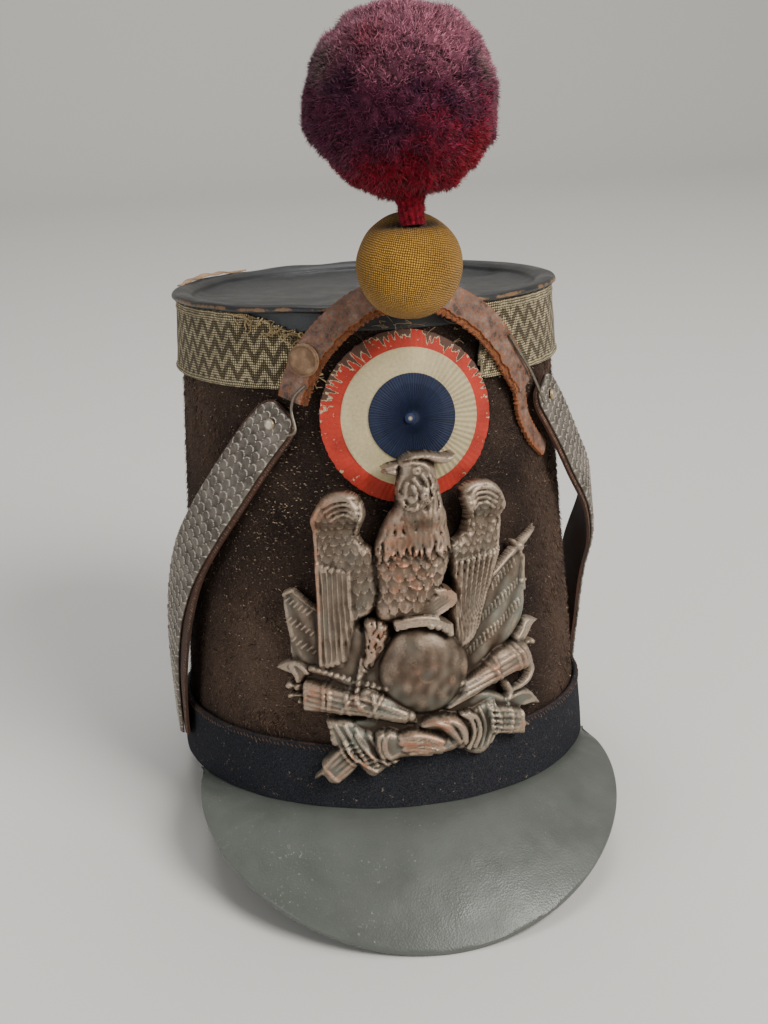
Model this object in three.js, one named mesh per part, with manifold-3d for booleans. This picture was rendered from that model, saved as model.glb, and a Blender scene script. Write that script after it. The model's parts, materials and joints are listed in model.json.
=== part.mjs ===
// A soldier's shako: felt body with a leather top, woven tape, peak, hooked-up chin scales,
// pleated cockade, stamped rooster plate, and a wool pompom that stands on a cloth ball.
// Millimetres, +Z up, front towards -Y. The hat rests on its back edge and on the tip of its peak.

import * as THREE from 'three';
import { mergeVertices } from 'three/addons/utils/BufferGeometryUtils.js';
import Module from 'manifold-3d';

const wasm = await Module();
wasm.setup();

// Felt body, measured on its outer face
const bodyHeight = 201.5;
const footHalfWidth = 86.5;
const footHalfDepth = 103.5;
const topHalfWidth = 75.5;
const topHalfDepth = 81.5;
const topForward = 20;
const topFall = 0.06;
const feltWall = 2.5;

// Clearance between pieces that lie on each other
const seat = 0.3;

// Leather top: a dished disc with a raised rim, and a skirt behind the tape
const leatherWall = 2;
const dishDepth = 6;
const rimHeight = 3;
const rimWidth = 1.8;
const skirtWall = 1;
const skirtDepth = 10;

// Woven tape round the top, open at the front
const tapeHeight = 31.6;
const tapeWall = 0.9;
const tapeOpening = 24;

// Velvet band round the foot
const bandHeight = 25.7;
const bandWall = 2.2;

// Peak
const peakHalfAngle = 69.8;
const peakWidth = 59;
const peakSlopeAngle = 43.7;
const peakArch = 0.05;
const peakWall = 2.5;

// Outline of the peak: how round its sides and its tip are, how thin its ends run out as a share of
// its width, and how fast its slope levels out towards them
const peakSides = 1.89;
const peakTip = 1.35;
const peakEnd = 0.015;
const peakLevelling = 1.31;

// How far the back edge and the peak's tip are pressed flat where the hat rests
const heelFlat = 2.3;
const tipFlat = 0.8;

// Hide straps, their rivet and the wire hooks
const strapWidth = 12.5;
const strapWall = 2.4;
const tailWidth = 7;
const rivetRadius = 6.2;
const rivetHeight = 3;
const wireRadius = 0.7;

// Chin scales
const scaleWidth = 23;
const scaleWall = 0.8;
const scaleRelief = 1;
const scaleRows = 20;
const scalesAcross = 4;
const backingWall = 1.6;
const backingMargin = 1.4;
const scaleRivetRadius = 2.1;

// Cockade
const cockadeRadius = 32.5;
const cockadeBlue = 16.6;
const cockadeWhite = 26;
const cockadeWall = 1.2;
const cockadeDome = 4;
const cockadeBendRadius = 150;
const cockadePleats = 23;
const pleatDepth = 0.7;
const cockadeDrop = 48.9;
const cockadeTurn = 1.4;
const studRadius = 2;

// Stamped plate: its outlines are in hundredths of this width and height
const plateWidth = 120;
const plateHeight = 130;
const plateFoot = 10.5;
const plateShift = 2.5;
const plateRelief = 10;

// Ball, neck and pompom
const ballRadius = 19;
const ballRise = 14;
const neckRadius = 5;
const pompomRadius = 34;
const pompomRise = 56;
const lockDepth = 2.4;

const steps = 48;
const degree = Math.PI / 180;
const mix = THREE.MathUtils.lerp;

// The cockade keeps its distance from the top
const cockadeHeight = bodyHeight - cockadeDrop;

// Faces that lie on the felt, one over the other
const bandFace = seat + bandWall;
const skirtFace = seat + skirtWall;
const tapeFace = skirtFace + seat + tapeWall;
const rimFace = tapeFace + rimWidth;

// Hollows and swellings of the felt: where, how wide, and how deep as a share of the felt's wall.
// Each reaches up and down by the same share of the body's height.
const dentReach = 0.25;
const dents = [
  { angle: -62, height: 0.52, spread: 26, depth: -0.5 },
  { angle: 58, height: 0.6, spread: 24, depth: -0.45 },
  { angle: 150, height: 0.45, spread: 34, depth: -0.6 },
  { angle: -150, height: 0.62, spread: 30, depth: 0.4 },
];

function dentAt(angle, share) {
  let sum = 0;
  for (const dent of dents) {
    const turn = Math.atan2(Math.sin(angle - dent.angle * degree), Math.cos(angle - dent.angle * degree));
    const away = Math.hypot(turn / (dent.spread * degree), (share - dent.height) / dentReach);
    sum += feltWall * dent.depth * Math.exp(-away * away);
  }
  const inside = THREE.MathUtils.clamp(share, 0, 1);
  return sum * Math.sin(Math.PI * inside) ** 2;
}

// Point of the body's side: angle from the front towards +X, height, and distance off the felt
function side(angle, z, off, inset = 1) {
  const share = z / bodyHeight;
  const reach = off + dentAt(angle, share) * inset;
  const halfWidth = mix(footHalfWidth, topHalfWidth, share) * inset + reach;
  const halfDepth = mix(footHalfDepth, topHalfDepth, share) * inset + reach;
  return new THREE.Vector3(
    halfWidth * Math.sin(angle), -topForward * share - halfDepth * Math.cos(angle), z);
}

// Level outward direction at an angle of the foot's oval
function outward(angle) {
  return new THREE.Vector3(
    Math.sin(angle) / footHalfWidth, -Math.cos(angle) / footHalfDepth, 0).normalize();
}

// Height at which the side meets the plane z = level + slope * y
function heightOnPlane(angle, off, level, slope, inset = 1) {
  const front = Math.cos(angle);
  const taper = (topHalfDepth - footHalfDepth) * inset;
  const share = (level - slope * (footHalfDepth * inset + off) * front)
    / (bodyHeight + slope * (topForward + taper * front));
  return share * bodyHeight;
}

// Point a given drop below the sloping top
function underTop(angle, off, drop, inset = 1) {
  return side(angle, heightOnPlane(angle, off, bodyHeight - drop, topFall, inset), off, inset);
}

// Peak: its width and slope at an angle, and the point a share of the way out
function peakReach(angle) {
  const share = Math.min(Math.abs(angle) / (peakHalfAngle * degree), 1);
  return peakWidth * Math.max((1 - share ** peakSides) ** peakTip, peakEnd);
}

function peakFall(angle) {
  const share = Math.abs(angle) / (peakHalfAngle * degree);
  return peakSlopeAngle * Math.max(1 - peakLevelling * share * share, 0) * degree;
}

function peakPoint(angle, share, depth) {
  const reach = peakReach(angle);
  const fall = peakFall(angle);
  const arch = peakArch * reach * 4 * share * (1 - share) - depth;
  const along = reach * share;
  const point = side(angle, 0, bandFace);
  point.addScaledVector(outward(angle), along * Math.cos(fall) + arch * Math.sin(fall));
  point.z += arch * Math.cos(fall) - along * Math.sin(fall) - seat;
  return point;
}

// Floor under the resting hat, as height over y: it runs through the back edge and the peak's tip
const heel = side(Math.PI, 0, bandFace);
const tip = peakPoint(0, 1, peakWall);
const floorSlope = (tip.z + tipFlat - heelFlat) / (tip.y - heel.y);
const floorLevel = heelFlat - floorSlope * heel.y;
const restTilt = Math.atan(floorSlope);

function floorUnder(point) {
  return floorLevel + floorSlope * point.y;
}

// Lower edge of the body's walls: the plane of the foot, flattened where the hat rests
function footEdge(angle, off) {
  const pressed = side(angle, heightOnPlane(angle, off, floorLevel, floorSlope), off);
  return pressed.z > 0 ? pressed : side(angle, 0, off);
}

// One closed mesh from points and triangles, turned so that its faces point outwards
function bodyOf(points, faces) {
  let volume = 0;
  for (let i = 0; i < faces.length; i += 3) {
    const [a, b, c] = [points[faces[i]], points[faces[i + 1]], points[faces[i + 2]]];
    volume += a.dot(new THREE.Vector3().crossVectors(b, c));
  }
  const order = volume < 0 ? faces.toReversed() : faces;
  const geometry = new THREE.BufferGeometry().setFromPoints(points);
  geometry.setIndex(order);
  geometry.computeVertexNormals();
  return geometry;
}

// Body through sections, each a loop of points. Its ends are closed by rungs between the halves of
// a loop, or by a fan from the loop's last point, unless it runs round to its start.
function loft(sections, end = 'rungs') {
  const size = sections[0].length;
  const count = sections.length;
  const faces = [];
  const spans = end === 'round' ? count : count - 1;
  for (let i = 0; i < spans; i++) {
    const next = ((i + 1) % count) * size;
    for (let j = 0; j < size; j++) {
      const k = (j + 1) % size;
      faces.push(i * size + j, i * size + k, next + k, i * size + j, next + k, next + j);
    }
  }
  const last = (count - 1) * size;
  if (end === 'rungs') {
    for (let j = 0; j < size / 2 - 1; j++) {
      const [b, c, d] = [j + 1, size - 2 - j, size - 1 - j];
      faces.push(j, c, b, j, d, c);
      faces.push(last + j, last + b, last + c, last + j, last + c, last + d);
    }
  }
  if (end === 'fan') {
    for (let j = 0; j < size - 2; j++) {
      faces.push(size - 1, j + 1, j);
      faces.push(last + size - 1, last + j, last + j + 1);
    }
  }
  return bodyOf(sections.flat(), faces);
}

// Body of rings between two end points
function capped(start, rings, finish) {
  const size = rings[0].length;
  const points = [start, ...rings.flat(), finish];
  const last = points.length - 1;
  const faces = [];
  for (let j = 0; j < size; j++) {
    const k = (j + 1) % size;
    faces.push(0, 1 + k, 1 + j);
    faces.push(last, last - size + j, last - size + k);
    for (let i = 0; i < rings.length - 1; i++) {
      const here = 1 + i * size;
      faces.push(here + j, here + k, here + size + k, here + j, here + size + k, here + size + j);
    }
  }
  return bodyOf(points, faces);
}

function turns(count) {
  return Array.from({ length: count }, (_, i) => (i / count) * 2 * Math.PI);
}

function shares(count) {
  return Array.from({ length: count + 1 }, (_, i) => i / count);
}

// Angles from one end to the other, on the same facets as the whole rings
function stretch(from, to) {
  const step = 360 / steps;
  const inner = [];
  for (let angle = Math.ceil(from / step + 0.2) * step; angle < to - 0.2 * step; angle += step) {
    inner.push(angle * degree);
  }
  return [from * degree, ...inner, to * degree];
}

function solidOf(geometry) {
  const bare = geometry.clone();
  bare.deleteAttribute('normal');
  bare.deleteAttribute('uv');
  const merged = mergeVertices(bare, 1e-4);
  return new wasm.Manifold(new wasm.Mesh({
    numProp: 3,
    vertProperties: new Float32Array(merged.attributes.position.array),
    triVerts: new Uint32Array(merged.index.array),
  }));
}

// Several overlapping closed bodies joined to one
function joined(geometries) {
  let sum = solidOf(geometries[0]);
  for (const geometry of geometries.slice(1)) {
    sum = sum.add(solidOf(geometry));
  }
  const mesh = sum.getMesh();
  const result = new THREE.BufferGeometry();
  result.setAttribute('position', new THREE.BufferAttribute(mesh.vertProperties, 3));
  result.setIndex(new THREE.BufferAttribute(mesh.triVerts, 1));
  result.computeVertexNormals();
  return result;
}

const hat = new THREE.Group();

function finish(color, roughness, metalness = 0) {
  return new THREE.MeshStandardMaterial({ color, roughness, metalness });
}

const felt = finish(0x2a1d18, 0.95);
const blackLeather = finish(0x262b31, 0.5);
const wovenTape = finish(0x6e6047, 0.85);
const velvet = finish(0x14151d, 0.95);
const greyLeather = finish(0x31383a, 0.45);
const hide = finish(0x5d4a44, 0.8);
const brass = finish(0x9a7450, 0.45, 0.9);
const pewter = finish(0x6f6d6a, 0.5, 0.85);
const backingLeather = finish(0x4b2f22, 0.8);
const paint = finish(0xb9b3a0, 0.7);
const bronze = finish(0x5e5850, 0.55, 0.8);
const mustard = finish(0xb58a2c, 0.9);
const crimson = finish(0x8c1a26, 0.9);
const wool = finish(0x551427, 1);

function add(name, geometry, material) {
  const mesh = new THREE.Mesh(geometry, material);
  mesh.name = name;
  hat.add(mesh);
  return mesh;
}

// Felt body: a wall with an outer and an inner face, open at both ends
function crownSection(angle) {
  const topDrop = rimHeight + seat;
  const faces = [0, -feltWall].map((off) => {
    const low = footEdge(angle, off);
    const high = underTop(angle, off, topDrop);
    return shares(4).map((share) => side(angle, mix(low.z, high.z, share), off));
  });
  return [...faces[0], ...faces[1].toReversed()];
}

add('felt_crown', loft(turns(steps).map(crownSection), 'round'), felt);

// Leather top: rows from the middle out over the rim, down the skirt and back underneath.
// A row's place is a share of the top's half width plus a distance, and its drop below the rim.
const topEdge = -feltWall * 2.6;
const topRows = [
  { inset: 0.45, off: 0, drop: dishDepth },
  { inset: 0.8, off: 0, drop: dishDepth * 0.85 },
  { inset: 1, off: topEdge, drop: dishDepth * 0.5 },
  { inset: 1, off: skirtFace, drop: 0 },
  { inset: 1, off: mix(skirtFace, rimFace, 0.75), drop: rimHeight * 0.15 },
  { inset: 1, off: rimFace, drop: rimHeight * 0.6 },
  { inset: 1, off: skirtFace, drop: rimHeight },
  { inset: 1, off: skirtFace, drop: skirtDepth },
  { inset: 1, off: seat, drop: skirtDepth },
  { inset: 1, off: seat, drop: rimHeight },
  { inset: 1, off: -feltWall - seat, drop: rimHeight },
  { inset: 1, off: topEdge, drop: dishDepth * 0.5 + leatherWall },
  { inset: 0.8, off: 0, drop: dishDepth * 0.85 + leatherWall },
  { inset: 0.45, off: 0, drop: dishDepth + leatherWall },
];

function topLeather() {
  const rings = topRows.map((row) => turns(steps).map(
    (angle) => underTop(angle, row.off, row.drop, row.inset)));
  const middle = underTop(0, 0, dishDepth, 0);
  const beneath = underTop(0, 0, dishDepth + leatherWall, 0);
  return capped(middle, rings, beneath);
}

add('top_leather', topLeather(), blackLeather);

// Woven tape, torn away along its upper edge at its left end
const tear = [
  { angle: -24, fall: 0.22 },
  { angle: -30, fall: 0.17 },
  { angle: -37.5, fall: 0.05 },
  { angle: -45, fall: 0 },
];

function tearAt(angle) {
  const turned = angle / degree - 360;
  for (let i = 1; i < tear.length; i++) {
    if (turned >= tear[i].angle) {
      const share = (turned - tear[i].angle) / (tear[i - 1].angle - tear[i].angle);
      return mix(tear[i].fall, tear[i - 1].fall, share) * tapeHeight;
    }
  }
  return 0;
}

function tapeSection(angle) {
  const topDrop = rimHeight + seat + tearAt(angle);
  const faces = [tapeFace, tapeFace - tapeWall].map((off) => [
    underTop(angle, off, tapeHeight),
    underTop(angle, off, mix(tapeHeight, topDrop, 0.5)),
    underTop(angle, off, topDrop),
  ]);
  return [...faces[0], ...faces[1].toReversed()];
}

add('galon', loft(stretch(tapeOpening, 360 - tapeOpening).map(tapeSection)), wovenTape);

// Velvet band
function bandSection(angle) {
  const faces = [bandFace, seat].map((off) => {
    const low = footEdge(angle, off);
    return [low, side(angle, bandHeight, off)];
  });
  return [...faces[0], ...faces[1].toReversed()];
}

add('lower_band', loft(turns(steps).map(bandSection), 'round'), velvet);

// Peak: a flange under the felt and the band, then the arched leaf
function peakSection(angle) {
  const faces = [0, peakWall].map((depth) => {
    const flange = side(angle, 0, -feltWall * 0.7);
    flange.z = -seat - depth;
    const bend = side(angle, 0, bandFace * 0.8);
    bend.z = -seat - depth;
    const leaf = [0.14, 0.42, 0.72, 1].map((share) => peakPoint(angle, share, depth));
    return [flange, bend, ...leaf];
  });
  const loop = [...faces[0], ...faces[1].toReversed()];
  for (const point of loop) {
    point.z = Math.max(point.z, floorUnder(point));
  }
  return loop;
}

const peakAngles = shares(24).map((share) => mix(-1, 1, share) * peakHalfAngle * degree);
add('peak', loft(peakAngles.map(peakSection)), greyLeather);

// Flat ribbon laid on the body. Rows give its angle, its height, how far its back stands off the
// felt, its width and how its face leans up.
function ribbonFrames(rows, count) {
  const route = new THREE.CatmullRomCurve3(rows.map((row) => side(row.angle * degree, row.z, row.off)));
  const read = (key, t) => {
    const at = t * (rows.length - 1);
    const i = Math.min(Math.floor(at), rows.length - 2);
    return mix(rows[i][key] ?? 0, rows[i + 1][key] ?? 0, at - i);
  };
  return shares(count).map((t) => {
    const along = route.getTangent(t);
    const out = outward(read('angle', t) * degree);
    out.z = Math.tan(read('lean', t) * degree);
    out.addScaledVector(along, -out.dot(along)).normalize();
    const across = new THREE.Vector3().crossVectors(out, along);
    return { t, point: route.getPoint(t), along, out, across, width: read('width', t) };
  });
}

function at(frame, across, out, along = 0) {
  return frame.point.clone()
    .addScaledVector(frame.across, across)
    .addScaledVector(frame.out, out)
    .addScaledVector(frame.along, along);
}

function ribbon(rows, count, wall) {
  const sections = ribbonFrames(rows, count).map((frame) => {
    const half = frame.width / 2;
    return [at(frame, -half, 0), at(frame, half, 0), at(frame, half, wall), at(frame, -half, wall)];
  });
  return loft(sections);
}

// A strap's rows: angle, drop below the rim as a share of the tape's height, rise over the rim as a
// share of its reach, lean back over the rim, and width
function strapRows(rows) {
  return rows.map((row) => {
    const off = tapeFace + seat * 1.5 + rimWidth * row.rise;
    const z = heightOnPlane(row.angle * degree, 0, bodyHeight - row.drop * tapeHeight, topFall);
    return { ...row, off, z, width: row.width * strapWidth };
  });
}

const strapLeft = strapRows([
  { angle: -1.5, drop: -0.06, rise: 1.2, lean: 25, width: 0.9 },
  { angle: -9, drop: 0.02, rise: 1.2, lean: 20, width: 1 },
  { angle: -17, drop: 0.27, rise: 1.3, lean: 6, width: 1 },
  { angle: -23, drop: 0.56, rise: 0.4, lean: 0, width: 1 },
  { angle: -27, drop: 0.87, rise: 0, lean: 0, width: 1 },
  { angle: -29, drop: 1.12, rise: 0, lean: 0, width: 0.95 },
]);

const strapRight = strapRows([
  { angle: 3, drop: -0.06, rise: 1.2, lean: 25, width: 0.9 },
  { angle: 12.5, drop: 0.02, rise: 1.2, lean: 20, width: 1 },
  { angle: 22, drop: 0.28, rise: 1.35, lean: 6, width: 1 },
  { angle: 29.5, drop: 0.6, rise: 0.4, lean: 0, width: 1 },
  { angle: 35, drop: 0.95, rise: 0, lean: 0, width: 1 },
  { angle: 38, drop: 1.2, rise: 0, lean: 0, width: 0.85 },
]);

// Free end of the right strap's under layer: it leaves the strap and lies down on the felt
const tailRows = [
  { angle: 36, drop: 1.05, stand: 1.15 },
  { angle: 37.5, drop: 1.3, stand: 0.75 },
  { angle: 39.5, drop: 1.55, stand: 0.2 },
  { angle: 44, drop: 1.85, stand: 0.1 },
  { angle: 51, drop: 2.1, stand: 0.1 },
].map((row) => ({
  ...row,
  off: seat + row.stand * tapeFace,
  z: heightOnPlane(row.angle * degree, 0, bodyHeight - row.drop * tapeHeight, topFall),
  width: tailWidth,
}));

add('strap_left', ribbon(strapLeft, 12, strapWall), hide);
add('strap_right', joined([ribbon(strapRight, 12, strapWall), ribbon(tailRows, 10, strapWall * 0.8)]), hide);

// Dome turned about its own axis, with its flat back towards the hat
function dome(radius, height, sides) {
  const profile = [
    new THREE.Vector2(0, 0),
    new THREE.Vector2(radius, 0),
    new THREE.Vector2(radius * 0.96, height * 0.35),
    new THREE.Vector2(radius * 0.6, height * 0.85),
    new THREE.Vector2(0, height),
  ];
  return new THREE.LatheGeometry(profile, sides);
}

// Sets a turned piece on a ribbon: its axis along the ribbon's face
function seatOn(mesh, frame, across, out) {
  mesh.position.copy(at(frame, across, out));
  mesh.quaternion.setFromUnitVectors(new THREE.Vector3(0, 1, 0), frame.out);
}

const leftFrames = ribbonFrames(strapLeft, 20);
const strapRivet = add('strap_rivet', dome(rivetRadius, rivetHeight, 14), brass);
seatOn(strapRivet, leftFrames[13], -strapWidth * 0.06, strapWall + 2 * seat);

// Chin strip: rows of angle, height as a share of the body's, stand-off and width
function chinRows(rows) {
  return rows.map((row) => ({
    angle: row.angle,
    z: row.height * bodyHeight,
    off: Math.max(tapeFace, bandFace) + seat + row.stand * backingWall,
    width: row.width * scaleWidth,
  }));
}

const chinLeft = chinRows([
  { angle: -31.5, height: 0.78, stand: 0, width: 0.68 },
  { angle: -40, height: 0.715, stand: 0.2, width: 0.78 },
  { angle: -50, height: 0.63, stand: 0.8, width: 0.87 },
  { angle: -60, height: 0.545, stand: 1.6, width: 0.94 },
  { angle: -70, height: 0.455, stand: 2.2, width: 1 },
  { angle: -78, height: 0.35, stand: 2.2, width: 1.02 },
  { angle: -83, height: 0.23, stand: 1.8, width: 1 },
  { angle: -85.5, height: 0.13, stand: 0.8, width: 0.97 },
  { angle: -86.5, height: 0.06, stand: 0, width: 0.95 },
]);

const chinRight = chinRows([
  { angle: 46.5, height: 0.785, stand: 0.2, width: 0.68 },
  { angle: 53.5, height: 0.72, stand: 1.2, width: 0.78 },
  { angle: 62, height: 0.63, stand: 3, width: 0.87 },
  { angle: 72, height: 0.545, stand: 4.8, width: 0.94 },
  { angle: 82, height: 0.455, stand: 4.8, width: 1 },
  { angle: 90, height: 0.35, stand: 2.8, width: 1.02 },
  { angle: 95, height: 0.23, stand: 1.6, width: 1 },
  { angle: 98, height: 0.13, stand: 0.6, width: 0.97 },
  { angle: 99, height: 0.06, stand: 0, width: 0.95 },
]);

// Rounded hooked end: the share of the full width near the start
function endRounding(t) {
  const share = Math.min(t / 0.06, 1);
  return 0.45 + 0.55 * Math.sqrt(1 - (1 - share) ** 2);
}

function chinBacking(rows) {
  const sections = ribbonFrames(rows, 24).map((frame) => {
    const half = (frame.width / 2 + backingMargin) * endRounding(frame.t);
    return [at(frame, -half, 0), at(frame, half, 0),
      at(frame, half, backingWall), at(frame, -half, backingWall)];
  });
  return loft(sections);
}

// Stamped scales: each row rises towards its lip, which is drawn out in a tongue on each scale.
// Between the tongues the lip keeps a share of its rise, and it is pulled by a share of the width.
const lipBetween = 0.55;
const lipPull = 0.03;

function chinScales(rows) {
  const columns = scalesAcross * 2;
  const frames = ribbonFrames(rows, scaleRows * 2);
  const base = backingWall + seat;
  const sections = frames.map((frame, i) => {
    const half = (frame.width / 2) * endRounding(frame.t + 0.02);
    const lip = i % 2;
    const loop = shares(columns).map((share, j) => {
      const tongue = (j + Math.floor(i / 2)) % 2;
      const height = scaleWall + scaleRelief * lip * mix(lipBetween, 1, tongue);
      const pull = i > 0 && i < frames.length - 1 ? lip * (1 + tongue) * frame.width * lipPull : 0;
      return at(frame, mix(-half, half, share), base + height, pull);
    });
    return [...loop, at(frame, half, base), at(frame, -half, base)];
  });
  return loft(sections, 'fan');
}

for (const [name, rows] of [['left', chinLeft], ['right', chinRight]]) {
  add(`chin_backing_${name}`, chinBacking(rows), backingLeather);
  add(`chin_scale_${name}`, chinScales(rows), pewter);
  const frame = ribbonFrames(rows, scaleRows * 2)[2];
  const rivet = add(`scale_rivet_${name}`, dome(scaleRivetRadius, scaleRivetRadius * 0.6, 8), brass);
  seatOn(rivet, frame, 0, backingWall + scaleWall + scaleRelief + 2 * seat);
}

// Wire hooks: round wire along a curve, over the end of a strap and the end of its strip
function wire(points) {
  const outline = new THREE.Shape();
  outline.absarc(0, 0, wireRadius, 0, 2 * Math.PI);
  const path = new THREE.CatmullRomCurve3(points);
  return new THREE.ExtrudeGeometry(outline, {
    steps: points.length * 2, curveSegments: 3, extrudePath: path, bevelEnabled: false,
  });
}

function hookPoints(strap, strip, rows) {
  return rows.map((row) => {
    const frame = row.on === 'strap' ? strap : strip;
    const lift = row.on === 'strap'
      ? strapWall + seat + wireRadius
      : backingWall + scaleWall + scaleRelief + 2 * seat + wireRadius;
    return at(frame, row.across * frame.width, lift, row.along * strapWidth);
  });
}

const rightFrames = ribbonFrames(strapRight, 20);
add('hook_left', wire(hookPoints(leftFrames[18], ribbonFrames(chinLeft, 40)[1], [
  { on: 'strap', across: 0.35, along: -0.3 },
  { on: 'strap', across: 0.1, along: 0.15 },
  { on: 'strap', across: 0.12, along: 0.55 },
  { on: 'strip', across: 0.62, along: -0.2 },
  { on: 'strip', across: 0.5, along: 0.1 },
])), pewter);
add('hook_right', wire(hookPoints(rightFrames[13], ribbonFrames(chinRight, 40)[1], [
  { on: 'strap', across: 0.3, along: -0.3 },
  { on: 'strap', across: 0.3, along: 0.5 },
  { on: 'strap', across: 0.3, along: 1.3 },
  { on: 'strip', across: -0.5, along: 0 },
])), pewter);

// Cockade: a pleated disc, domed towards its middle and bent a little round the body
function cockade() {
  const place = (radius, turn, thick) => {
    const share = radius / cockadeRadius;
    const x = radius * Math.cos(turn);
    const rise = cockadeDome * (1 - share * share) + thick - (x * x) / (2 * cockadeBendRadius);
    return new THREE.Vector3(x, -rise, radius * Math.sin(turn));
  };
  const around = turns(cockadePleats * 2);
  const ring = (radius, thick, pleat) => around.map(
    (turn, i) => place(radius, turn, thick + (i % 2) * pleat));
  const front = [
    ring(studRadius * 2, cockadeWall, 0),
    ring(cockadeBlue, cockadeWall, pleatDepth),
    ring(cockadeWhite, cockadeWall, pleatDepth),
    ring(cockadeRadius, cockadeWall, pleatDepth * 0.6),
  ];
  const back = [ring(cockadeRadius, 0, 0), ring(cockadeBlue, 0, 0)];
  return capped(place(0, 0, cockadeWall), [...front, ...back], place(0, 0, 0));
}

// Sets a piece on the body's front with its face outwards and its height along the felt
const cockadeAngle = cockadeTurn * degree;

function onFront(mesh, stand) {
  const [low, high] = [-1, 1].map((way) => side(cockadeAngle, cockadeHeight + way * cockadeRadius, seat));
  const up = high.clone().sub(low).normalize();
  const back = outward(cockadeAngle).negate();
  back.addScaledVector(up, -back.dot(up)).normalize();
  const across = new THREE.Vector3().crossVectors(back, up);
  mesh.quaternion.setFromRotationMatrix(new THREE.Matrix4().makeBasis(across, back, up));
  mesh.position.copy(low.lerp(high, 0.5)).addScaledVector(back, -stand);
}

onFront(add('cockade', cockade(), paint), 0);
onFront(add('cockade_stud', dome(studRadius, studRadius * 0.5, 8).rotateX(Math.PI), paint),
  cockadeDome + cockadeWall + seat);

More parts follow.
